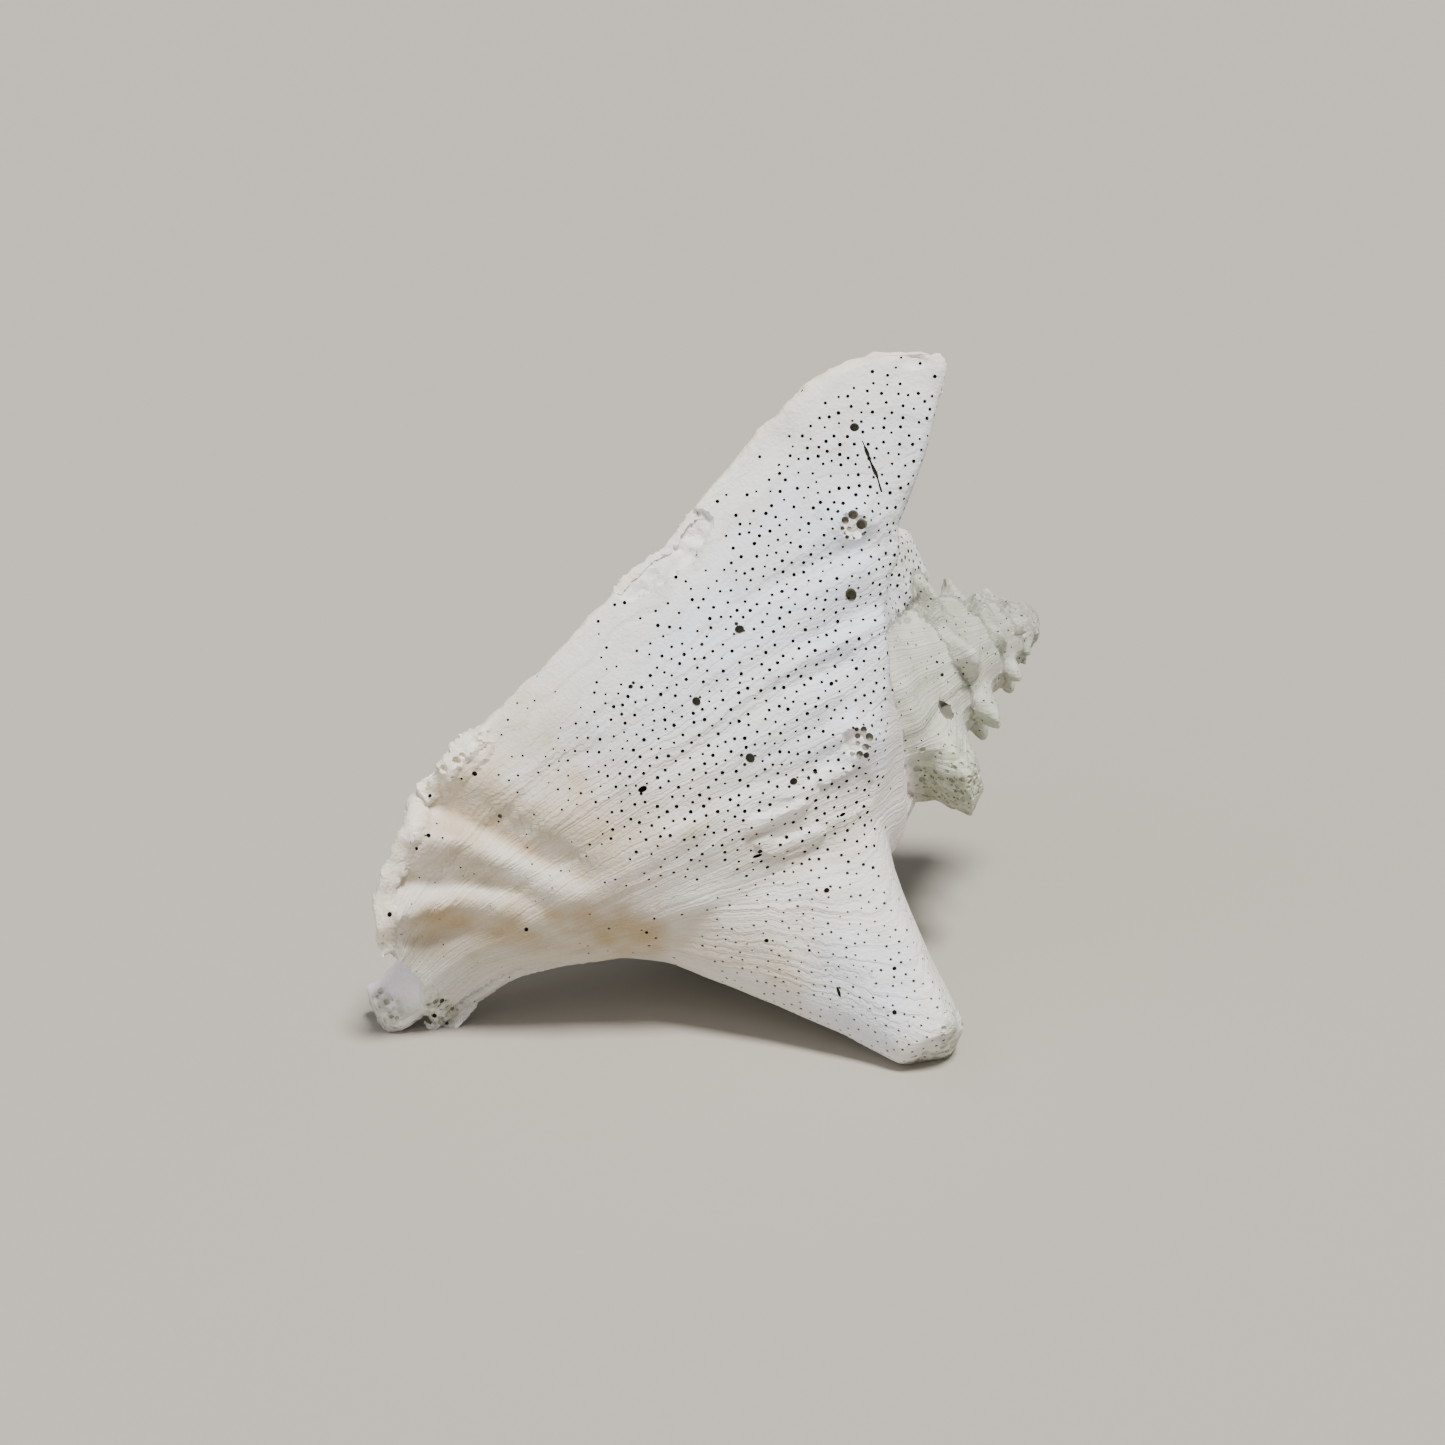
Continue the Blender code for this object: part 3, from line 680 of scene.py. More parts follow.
def sheet_points(steps):
    """The outer face of the last whorl and the lip: a grid of points, their growth angles and columns."""
    angles = list(range(FIRST_ROW_ANGLE, LAST_ROUND_ANGLE, ROW_STEP))
    rows = [round_row(angle) for angle in angles]
    for angle, row in LIP_ROWS.items():
        angles.append(angle)
        rows.append(row)
    grid = smooth_rows(rows, steps)
    fine_angles = smooth_rows(angles, steps)
    grid = smooth_rows(grid.transpose(1, 0, 2), steps).transpose(1, 0, 2)
    columns = np.linspace(0.0, len(GROWTH_LINE) - 1.0, grid.shape[1])
    angle_grid, column_grid = np.meshgrid(fine_angles, columns, indexing="ij")
    grid = grid + spine_push(angle_grid, column_grid)
    right, up = front_view(to_world(grid))
    relief = face_relief(right, up) * ease((angle_grid - FACE_FROM) / (FACE_TO - FACE_FROM))
    relief = relief * ease((column_grid - SHOULDER_COLUMN) / FACE_EDGE + 1.0)
    return grid + relief[..., None] * np.array([1.0, 0.0, 0.0]), angle_grid, column_grid


def whorl_radius(heights, angles):
    """Radius of one whorl at distances from the apex, for growth angles; small past the ends of its line."""
    scale = growth_scale(angles)
    line = smooth_rows(CORE_LINE, FINE_STEP)
    return np.interp(heights / scale, line[:, 0], line[:, 1]) * scale


def spire_spines():
    """Growth angle, length, half width in degrees, lean to the apex and bluntness of the spire's spines."""
    spines = [THICK_SPINE]
    for index in range(SPIRE_SPINE_COUNT):
        angle = SPIRE_SPINE_FIRST - SPIRE_SPINE_STEP * index
        shoulder = SHOULDER_RADIUS * float(growth_scale(angle))
        vary = 1.0 + SPIRE_SPINE_UNEVEN * math.sin(SPIRE_SPINE_BEAT * index)
        length = shoulder * SPIRE_SPINE_LENGTH * vary
        spines.append((angle, length, SPIRE_SPINE_WIDTH, 0.0, SPIRE_SPINE_BLUNT))
    return spines


def core_surface(heights, turns):
    """Radius of the coiled core, and the growth angle and column of the whorl that is outermost there."""
    total = np.zeros(heights.shape)
    best = np.zeros(heights.shape)
    growth = np.zeros(heights.shape)
    column = np.zeros(heights.shape)
    line_heights = [height for height, radius in GROWTH_LINE]
    for whorl in range(1, CORE_WHORLS):
        angles = turns - 360.0 * whorl
        radius = whorl_radius(heights, angles)
        scale = growth_scale(angles)
        for spine_turn, length, half_width, lean, blunt in spire_spines():
            down = (heights - SHOULDER_HEIGHT * scale + lean) / (SPIRE_SPINE_DEPTH * scale)
            away = np.hypot((angles - spine_turn) / half_width, down)
            away = np.clip((away - blunt) / (1.0 - blunt), 0.0, 1.0)
            radius = radius + length * (1.0 - away) ** SPIRE_SPINE_HOLLOW
        outer = radius > best
        growth = np.where(outer, angles, growth)
        columns = np.interp(heights / scale, line_heights, range(len(line_heights)))
        column = np.where(outer, columns, column)
        best = np.maximum(best, radius)
        total += radius ** WHORL_BLEND
    rounding = np.sqrt(np.clip((heights - CORE_TIP) / CORE_TIP_ROUND, 0.0, 1.0))
    fullness = CORE_TIP_FULLNESS * np.exp(-(heights / CORE_TIP_REACH) ** 2)
    return (total ** (1.0 / WHORL_BLEND) + fullness) * rounding, growth, column


def core_grid(around, along):
    """The spire and the inside of the body whorl: rings round the axis, growth angles and columns."""
    start = CORE_TIP + CORE_TIP_START
    heights = start + (CORE_END - start) * np.linspace(0.0, 1.0, along) ** CORE_CROWDING
    turns = CORE_LAST_ANGLE + 360.0 - 360.0 * np.arange(around) / around
    height_grid, turn_grid = np.meshgrid(heights, turns, indexing="ij")
    radius, growth, column = core_surface(height_grid, turn_grid)
    angle = np.radians(turn_grid)
    up = radius * np.sin(angle) - bend_at(height_grid)
    return np.stack([radius * np.cos(angle), up, AXIS_LENGTH - height_grid], axis=-1), growth, column


def columella_grid(around):
    """The inner pillar down to the end of the canal, as rings."""
    line = smooth_rows(COLUMELLA, COLUMELLA_STEPS)
    rings = []
    for front, up, along, radius in line:
        turns = np.linspace(0.0, 2.0 * math.pi, around, endpoint=False)
        ring = [front + radius * np.cos(turns), up + radius * np.sin(turns), np.full(around, along)]
        rings.append(np.stack(ring, axis=-1))
    return np.array(rings)


# Meshes


def finished_mesh(name, builder):
    """The mesh that a builder holds; the builder is freed."""
    data = bpy.data.meshes.new(name)
    builder.to_mesh(data)
    builder.free()
    return data


def grid_mesh(name, grid, closed_around=False, caps=False):
    """A mesh in world space from a grid of points; it can be closed round its second axis and at its ends."""
    rows, columns = grid.shape[:2]
    mesh = bmesh.new()
    verts = [[mesh.verts.new(point) for point in line] for line in to_world(grid) * MM]
    last = columns if closed_around else columns - 1
    for row in range(rows - 1):
        for column in range(last):
            ahead = (column + 1) % columns
            here, there = verts[row], verts[row + 1]
            mesh.faces.new((here[column], here[ahead], there[ahead], there[column]))
    if caps:
        mesh.faces.new(verts[0])
        mesh.faces.new(reversed(verts[-1]))
    bmesh.ops.recalc_face_normals(mesh, faces=mesh.faces)
    return finished_mesh(name, mesh)


def new_object(name, data):
    """An object in the scene."""
    item = bpy.data.objects.new(name, data)
    bpy.context.scene.collection.objects.link(item)
    return item


def evaluated_copy(item):
    """The mesh of an object with its modifiers applied."""
    view = item.evaluated_get(bpy.context.evaluated_depsgraph_get())
    return bpy.data.meshes.new_from_object(view)


def settle(item):
    """Turns an object's modifiers into its mesh."""
    data = evaluated_copy(item)
    item.modifiers.clear()
    item.data = data
    return item


def drop(item):
    """Removes a helper object."""
    bpy.data.objects.remove(item, do_unlink=True)


def grown_skin(sizes):
    """The walled sheet, the core and the columella, grown together into one smooth skin."""
    sheet = new_object("sheet", grid_mesh("sheet", sheet_points(FINE_STEP)[0]))
    wall = sheet.modifiers.new("wall", "SOLIDIFY")
    wall.thickness = sizes.wall
    wall.offset = -1.0
    joined = bmesh.new()
    joined.from_mesh(evaluated_copy(sheet))
    core = core_grid(CORE_AROUND, CORE_ALONG)[0]
    for name, grid in (("core", core), ("columella", columella_grid(COLUMELLA_SIDES))):
        joined.from_mesh(grid_mesh(name, grid, closed_around=True, caps=True))
    drop(sheet)
    shell = new_object("bleached_conch", finished_mesh("conch_shell", joined))
    remesh = shell.modifiers.new("one_skin", "REMESH")
    remesh.mode = "VOXEL"
    remesh.voxel_size = sizes.skin
    soften = shell.modifiers.new("soften", "SMOOTH")
    soften.factor = SMOOTH_FACTOR
    soften.iterations = SMOOTH_ROUNDS
    return settle(shell)


def vertex_places(data):
    """Places and normals of a mesh's vertices, the places in millimetres."""
    count = len(data.vertices)
    places = np.zeros(count * 3)
    data.vertices.foreach_get("co", places)
    normals = np.zeros(count * 3)
    data.vertex_normals.foreach_get("vector", normals)
    return places.reshape(-1, 3) / MM, normals.reshape(-1, 3)


def put_places(data, places):
    """Moves a mesh's vertices to places in millimetres."""
    data.vertices.foreach_set("co", (places * MM).ravel())
    data.update()


# The growth map and the marks read from it


def map_rows(points, growth, column, edge, core):
    """Rows of the growth map for a grid of points; core is 1 for the coiled core and 0 for the sheet."""
    along = int(core)
    step = np.gradient(points, axis=along)
    angle_step = np.clip(np.gradient(growth, axis=along), -ANGLE_JUMP, ANGLE_JUMP)
    size = np.maximum((step ** 2).sum(-1), TINY_STEP)
    slope = step * (angle_step / size)[..., None]
    normal = np.cross(np.gradient(points, axis=0), np.gradient(points, axis=1))
    normal = normal / np.maximum(np.linalg.norm(normal, axis=-1), TINY)[..., None]
    marks = np.stack([growth, column, edge, np.full(growth.shape, core)], axis=-1)
    return np.concatenate([points, marks, slope, normal], axis=-1).reshape(-1, MAP_COLUMNS)


def grid_map():
    """Every point of the sheet and the core, with what is known there."""
    sheet, growth, column = sheet_points(FINE_STEP)
    sheet = to_world(sheet)
    steps = np.linalg.norm(np.diff(sheet, axis=0), axis=-1)
    to_edge = np.concatenate([np.cumsum(steps[::-1], axis=0)[::-1], np.zeros((1, steps.shape[1]))])
    core, core_growth, core_column = core_grid(CORE_AROUND, CORE_ALONG)
    far = np.full(core_growth.shape, FAR_FROM_EDGE)
    return np.concatenate([
        map_rows(sheet, growth, column, to_edge, 0.0),
        map_rows(to_world(core), core_growth, core_column, far, 1.0),
    ])


def read_growth(places, growth_map):
    """What is known at each place: growth, column, way to the lip's edge, depth under the face, core."""
    tree = kdtree.KDTree(len(growth_map))
    for index, row in enumerate(growth_map):
        tree.insert(row[MAP_PLACE], index)
    tree.balance()
    found = growth_map[np.array([tree.find(place)[1] for place in places])]
    gap = places - found[:, MAP_PLACE]
    return {
        "growth": found[:, MAP_GROWTH] + (gap * found[:, MAP_SLOPE]).sum(1),
        "column": found[:, MAP_COLUMN],
        "edge": found[:, MAP_EDGE],
        "depth": np.abs((gap * found[:, MAP_NORMAL]).sum(1)),
        "core": found[:, MAP_CORE],
    }


def corner_value(index, seed):
    """A value from -1 to 1 for each corner of the noise cells, scattered by its place and the seed."""
    mixed = seed * HASH_SEED
    for axis, factor in enumerate(HASH_AXES):
        mixed = mixed ^ (index[..., axis] * factor)
    mixed = ((mixed ^ (mixed >> 13)) * HASH_FIRST) & HASH_WORD
    mixed = ((mixed ^ (mixed >> 15)) * HASH_SECOND) & HASH_WORD
    return ((mixed >> 8) & HASH_VALUE) / (HASH_VALUE / 2.0) - 1.0


def lattice_noise(points, size, seed):
    """Smooth noise from -1 to 1 over points, with cells of the given size."""
    cell = np.asarray(points, dtype=float) / size
    base = np.floor(cell).astype(np.int64)
    share = ease(cell - base)
    total = np.zeros(cell.shape[:-1])
    for corner in range(8):
        offset = np.array([(corner >> axis) & 1 for axis in range(3)])
        weight = np.prod(np.where(offset == 1, share, 1.0 - share), axis=-1)
        total += weight * corner_value(base + offset, seed)
    return total


def layered_noise(points, layers):
    """Noise at several sizes added up; each layer has a strength, a size and a seed."""
    return sum(strength * lattice_noise(points, size, seed) for strength, size, seed in layers)


def blob(right, up, oval):
    """1 inside an oval of the front view, easing to 0 at one and a half times its size."""
    middle_right, middle_up, half_width, half_height = oval
    away = np.hypot((right - middle_right) / half_width, (up - middle_up) / half_height)
    return ease((OVAL_REACH - away) * 2.0)


def crisp(share, noise):
    """A soft share made a patch with a ragged, clear edge."""
    return ease((share + CRISP_NOISE * noise - 0.5) * CRISP_EDGE + 0.5)


def zone_marks(right, up, known, wander):
    """Shares of the shell's zones, from 0 to 1 at each place."""
    growth = known["growth"]
    column = known["column"]
    core = known["core"]
    sheet = 1.0 - core
    bulge = blob(right, up, BULGE)
    depth = np.minimum(known["depth"], np.abs(known["depth"] - BULGE_RISE * bulge))
    outer = eased(depth, OUTER_DEPTH)
    face = sheet * eased(growth, FACE_GROWTH) * outer
    spire = core * eased(column, SPIRE_COLUMN)
    reach = RIM_WIDTH + RIM_WIDER * eased(up, RIM_LOW) + RIM_WANDER * wander
    ends = (blob(right, up, FOOT_END) + blob(right, up, FOOT_SOLE)) * sheet
    ends = ends + blob(right, up, CANAL_END) + blob(right, up, CANAL_LIP)
    return {
        "sheet": sheet,
        "bulge": bulge,
        "outer": outer,
        "face": face,
        "spire": spire,
        "inner": np.maximum(sheet * eased(depth, INNER_DEPTH), core - spire),
        "rim": sheet * ease((reach - known["edge"]) / RIM_END),
        "ramp": face * eased(column, RAMP_COLUMN) * eased(growth, RAMP_GROWTH),
        "low": eased(up, LOW_UP) * face,
        "flank": sheet * outer * eased(growth, FLANK_GROWTH) * eased(column, FLANK_COLUMN),
        "porous": np.clip(ends + core * blob(right, up, STUB), 0.0, 1.0),
    }


def pit_crowding(right, up, edge, wander, fine):
    """How the pits crowd on the face: fewer near the lip's edge and towards the canal."""
    wing = eased(up, WING_UP)
    inside = edge - BARE_EDGE + BARE_WING * wing - BARE_RAGGED * fine
    above = up + right * THIN_SLOPE + THIN_LINE + THIN_WANDER * wander
    crowded = ease(inside / (CROWD_WIDTH - CROWD_WING * wing)) * ease(above / THIN_WIDTH)
    return np.maximum(crowded, blob(right, up, LEG_CROWDED))


def pit_marks(right, up, known, zones, wander, fine):
    """How many pits there are at each place, as a share of the most, and how large they are."""
    face = zones["face"]
    skin = zones["sheet"] * zones["outer"]
    crowding = pit_crowding(right, up, known["edge"], wander, fine)
    share = face * linear(FACE_PITS, crowding) * (1.0 - LOW_THINNING * zones["low"])
    back = skin * (1.0 - eased(known["growth"], FACE_GROWTH)) * linear(BACK_PITS, wander)
    share = np.maximum(np.maximum(share, back), zones["spire"] * linear(SPIRE_PITS, wander))
    share = np.maximum(share, LEG_PITS * skin * blob(right, up, LEG))
    share = np.maximum(share * (1.0 - RAMP_THINNING * zones["ramp"]), zones["flank"])
    share = share * (1.0 - RIM_THINNING * zones["rim"]) * (1.0 - zones["inner"])
    spine = np.maximum(zones["sheet"], zones["bulge"]) * zones["outer"] * blob(right, up, BACK_SPINE)
    size = 1.0 + BULGE_PIT_SIZE * zones["bulge"] - LOW_PIT_SIZE * zones["low"]
    size = size - HIDDEN_PIT_SIZE * (1.0 - face)
    size = size - LEFT_PIT_SIZE * face * eased(right, SMALL_PITS)
    share = np.clip(np.clip(share, 0.0, 1.0) + spine, 0.0, 1.0)
    return {"pit_share": share, "pit_size": np.clip(size, *PIT_SIZES)}


def tone_marks(right, up, known, zones, wander, fine):
    """Shares of the tan stains, which also paint shade into the fold valleys, and of the bluish middle of the
    face.
    """
    face = zones["face"]
    stain = np.zeros(right.shape)
    for strength, width, line in STAINS_AND_CREASE_SHADE:
        away = line_distance(right, up, line)[0]
        stain = np.maximum(stain, strength * np.exp(-(away / width) ** 2) * (1.0 + STAIN_UNEVEN * fine))
    cool = face * eased(up + COOL_WANDER * wander, COOL_UP) * eased(known["edge"], COOL_EDGE)
    cool = np.maximum(cool, COOL_ON_LEG * face * blob(right, up, LEG_COOL))
    return {"stain": np.clip(stain * face, 0.0, 1.0), "cool": np.clip(cool, 0.0, 1.0)}


def surface_marks(places, known):
    """Shares from 0 to 1 that say what the surface is like at each place."""
    right, up = front_view(places)
    wander = layered_noise(places, SLOW_NOISE)
    fine = layered_noise(places, FINE_NOISE)
    marks = zone_marks(right, up, known, wander)
    marks.update(pit_marks(right, up, known, marks, wander, fine))
    marks.update(tone_marks(right, up, known, marks, wander, fine))
    return marks


# Wear


def ridge_height(places, right, up, known, marks, ridge):
    """Height of the growth ridges, of the cords across them and of the face's slow waves."""
    span = known["growth"] * GROWTH_SPAN
    across = known["column"] * COLUMN_SPAN
    whorl = known["core"] * CORE_APART
    wander = layered_noise(places, LINE_WANDER)
    along_lines = np.stack([span + wander, across * RIDGE_STRETCH, whorl], axis=-1)
    over_lines = np.stack([span * CORD_STRETCH, across + wander, whorl], axis=-1)
    outer = 1.0 - marks["inner"]
    wing = eased(up, WING_SMOOTH_UP) * np.exp(-((known["edge"] / WING_SMOOTH_EDGE) ** 2)) * marks["face"]
    leg = blob(right, up, LEG_SMOOTH) * marks["face"]
    height = layered_noise(along_lines, RIDGES) * ridge * outer * (1.0 - RAMP_SMOOTH * marks["ramp"])
    height = height * (1.0 - WING_SMOOTH * wing) * (1.0 - LEG_RIDGES * leg)
    height += layered_noise(over_lines, CORDS) * ridge * outer
    height += layered_noise(along_lines, WAVES) * marks["face"] * (1.0 - WAVE_SMOOTH * np.maximum(wing, leg))
    return height + layered_noise(places, LUMPS) * outer


def layer_height(places, known, patches, rim, lower):
    """Height of the layers of shell that show as steps in the flaked patches and at the lower edge."""
    span = known["growth"] * GROWTH_SPAN
    across = known["column"] * COLUMN_SPAN * LAYER_STRETCH[0]
    layers = layered_noise(np.stack([span, across, places[:, 2] * LAYER_STRETCH[1]], axis=-1), LAYERS)
    layers = np.round(layers + layered_noise(places, LAYER_EDGES)) / LAYER_STEPS
    share = np.clip(linear(LAYER_PATCH, lower) * patches + LAYER_RIM * rim * lower, 0.0, MOST_LAYERS)
    return LAYER_HEIGHT * layers * share


def flake_height(known, scars):
    """Height of the flakes in the scars; they lie along the growth lines."""
    span = known["growth"] * GROWTH_SPAN
    across = known["column"] * COLUMN_SPAN * FLAKE_STRETCH
    flakes = ease(layered_noise(np.stack([span, across, np.zeros(span.shape)], axis=-1), FLAKES))
    return FLAKE_HEIGHT * (flakes - FLAKE_SINK) * scars


def wear_height(places, right, up, known, marks):
    """Height of what wear has left: layers, flakes, rough places, the ragged lip, craters and the bulge."""
    face = marks["face"]
    broken = layered_noise(places, BROKEN)
    scars = blob(right, up, LOWER_SCAR) + blob(right, up, UPPER_SCAR)
    scars = crisp(np.clip(scars, 0.0, 1.0) * face, broken)
    patches, lift = patch_marks(right, up, broken)
    rim = crisp(marks["rim"], broken)
    knobs = np.clip(knob_tops(right, up) * face, 0.0, 1.0)
    lower = eased(up, RIM_LOW)
    rugged = SCAR_ROUGH * scars + patches + POROUS_ROUGH * marks["porous"] + KNOB_ROUGH * knobs
    rugged = rugged + RIM_ROUGH * rim
    torn = linear(RIM_RAGGED, np.maximum(lower, eased(up, WING_TOP)))
    height = layer_height(places, known, patches, rim, lower)
    height += ROUGH_HEIGHT * layered_noise(places, ROUGH) * np.clip(rugged, 0.0, MOST_ROUGH)
    height += layered_noise(places, RAGGED) * rim * torn + lift * face
    height += flake_height(known, scars) + rim * linear(RIM_RISE, lower) * face
    height -= CRATER_DEPTH * crisp(knobs, broken)
    height += BULGE_RISE * marks["bulge"] - NOTCH_DEPTH * blob(right, up, TIP_NOTCH)
    return height + marks["spire"] * layered_noise(places, SPIRE_LUMPS)


def wear_skin(data, sizes, growth_map):
    """Raises the growth ridges on the skin, wears it and draws out the spike of the wing's tip."""
    places, normals = vertex_places(data)
    known = read_growth(places, growth_map)
    marks = surface_marks(places, known)
    right, up = front_view(places)
    height = ridge_height(places, right, up, known, marks, sizes.ridge / MM)
    height += wear_height(places, right, up, known, marks)
    spike = blob(right, up, TIP_SPIKE)[:, None] * np.array(SPIKE_SHIFT)
    put_places(data, places + normals * height[:, None] + spike)


def patch_marks(right, up, noise):
    """Share of the flaked patches near the lip's edge, and how far they rise."""
    share = np.zeros(right.shape)
    rise = np.zeros(right.shape)
    for lift, width, line in PATCHES:
        away = line_distance(right, up, line)[0]
        here = crisp(ease((PATCH_REACH * width - away) / (PATCH_EDGE * width)), noise)
        share = np.maximum(share, here)
        rise += lift * here
    return share, rise


def knob_tops(right, up):
    """Share of the broken tops of the high knobs."""
    share = np.zeros(right.shape)
    for knob_right, knob_up, size, rise in KNOBS:
        if rise > HIGH_KNOB:
            away = np.hypot(right - knob_right, up - knob_up) / size
            share = np.maximum(share, ease((CRATER_SIZE - away) * CRATER_EDGE))
    return share


def hit_from_front(right, up):
    """The first point of the scene on the front view's ray through a place."""
    eye = Vector(view_point(0.0, 0.0, VIEW_DISTANCE) * MM)
    ahead = Vector(view_point(right, up, 0.0) * MM) - eye
    hit = bpy.context.scene.ray_cast(bpy.context.view_layer.depsgraph, eye, ahead.normalized())
    if not hit[0]:
        raise RuntimeError("the front view misses the shell at {} {}".format(right, up))
    return hit[1]


def boring_cutter():
    """Pegs for the larger borings in the face, each standing in the surface below it."""
    bpy.context.view_layer.depsgraph.update()
    face_on = Matrix.Rotation(math.pi / 2.0 - math.radians(VIEW_DROP), 4, "X")
    holes = []
    for index, (right, up, size) in enumerate(BORINGS):
        holes.append((right, up, size, size * BORING_SQUEEZE, index * BORING_TURN, BORING_DEPTH))
    for index, (right, up, size) in enumerate(CELLS):
        holes.append((right, up, size, size, index * CELL_TURN, CELL_DEPTH))
    holes += [slit + (BORING_DEPTH,) for slit in SLITS]
    pegs = bmesh.new()
    for right, up, long, short, turn, depth in holes:
        matrix = Matrix.Translation(hit_from_front(right, up)) @ face_on
        matrix = matrix @ Matrix.Rotation(math.radians(turn), 4, "Z")
        matrix = matrix @ Matrix.Diagonal((long, short, 1.0, 1.0))
        bmesh.ops.create_cone(
            pegs, cap_ends=True, segments=BORING_SIDES, radius1=PEG_RADII[0] * MM, radius2=PEG_RADII[1] * MM,
            depth=2.0 * depth * MM, matrix=matrix,
        )
    return new_object("borings", finished_mesh("borings", pegs))


def crack_cutter():
    """A thin crooked wedge along the crack."""
    toward = Vector(view_direction())
    side = Vector((1.0, 0.0, 0.0))
    points = smooth_rows(CRACK, CRACK_STEPS)
    wedge = bmesh.new()
    rings = []
    for index, (right, up) in enumerate(points):
        place = hit_from_front(right, up)
        half = CRACK_WIDTH * linear(CRACK_ENDS, math.sin(math.pi * (index + 0.5) / len(points)))
        half = half * (1.0 + CRACK_UNEVEN * math.sin(CRACK_BEAT * index))
        high = place + toward * CRACK_ABOVE * MM
        deep = place - toward * CRACK_DEPTH * MM
        mouth = side * half * CRACK_MOUTH * MM
        root = side * half * CRACK_ROOT * MM
        corners = (high - mouth, high + mouth, deep + root, deep - root)
        rings.append([wedge.verts.new(corner) for corner in corners])
    for first, second in zip(rings, rings[1:]):
        for corner in range(4):
            ahead = (corner + 1) % 4
            wedge.faces.new((first[corner], first[ahead], second[ahead], second[corner]))
    wedge.faces.new(rings[0])
    wedge.faces.new(reversed(rings[-1]))
    bmesh.ops.recalc_face_normals(wedge, faces=wedge.faces)
    return new_object("crack", finished_mesh("crack", wedge))


def ground_cutter():
    """A block under the shell that wears its feet flat."""
    bpy.ops.mesh.primitive_cube_add(size=1.0)
    block = bpy.context.object
    block.scale = (GROUND_BLOCK * MM, GROUND_BLOCK * MM, GROUND_DEPTH * MM)
    block.location = (0.0, 0.0, -GROUND_DEPTH * MM / 2.0)
    return block


def cut_out(shell, cutters, faces):
    """Brings the shell's skin of quads down to a number of triangles and takes the cutters out of it."""
    thin = shell.modifiers.new("fewer_faces", "DECIMATE")
    thin.ratio = min(1.0, faces / (2.0 * len(shell.data.polygons)))
    for cutter in cutters:
        boolean = shell.modifiers.new(cutter.name, "BOOLEAN")
        boolean.operation = "DIFFERENCE"
        boolean.solver = "MANIFOLD"
        boolean.object = cutter
    settle(shell)
    for cutter in cutters:
        drop(cutter)


# Pits


def add_node(tree, kind, **settings):
    """A node in a tree with its settings; names that start with in_ set the value of that numbered input."""
    node = tree.nodes.new(kind)
    for key, value in settings.items():
        if key.startswith("in_"):
            node.inputs[int(key[3:])].default_value = value
        else:
            setattr(node, key, value)
    return node


def worked_out(tree, operation, source, number):
    """The output of a math node that works on an output and a number."""
    node = add_node(tree, "ShaderNodeMath", operation=operation, in_1=number)
    tree.links.new(source, node.inputs[0])
    return node.outputs[0]


def times(tree, first, second):
    """Product of two outputs."""
    node = add_node(tree, "ShaderNodeMath", operation="MULTIPLY")
    tree.links.new(first, node.inputs[0])
    tree.links.new(second, node.inputs[1])
    return node.outputs[0]


def pit_shape(tree, start):
    """A pointed cone for one pit, standing in the surface with its point down."""
    link = tree.links.new
    cone = add_node(tree, "GeometryNodeMeshCone", in_0=PIT_SIDES)
    cone.inputs["Radius Bottom"].default_value = 0.0
    link(worked_out(tree, "MULTIPLY", start.outputs["Pit radius"], PIT_REACH), cone.inputs["Radius Top"])
    link(worked_out(tree, "MULTIPLY", start.outputs["Pit depth"], PIT_REACH), cone.inputs["Depth"])
    shift = tree.nodes.new("ShaderNodeCombineXYZ")
    link(worked_out(tree, "MULTIPLY", start.outputs["Pit depth"], -1.0), shift.inputs["Z"])
    sunk = tree.nodes.new("GeometryNodeTransform")
    link(cone.outputs["Mesh"], sunk.inputs["Geometry"])
    link(shift.outputs[0], sunk.inputs["Translation"])
    return sunk.outputs[0]


def subtract(tree, shell, cutters):
    """The shell with the cutters taken away."""
    node = add_node(tree, "GeometryNodeMeshBoolean", operation="DIFFERENCE", solver="MANIFOLD")
    tree.links.new(shell, node.inputs[0])
    tree.links.new(cutters, node.inputs[1])
    return node.outputs[0]


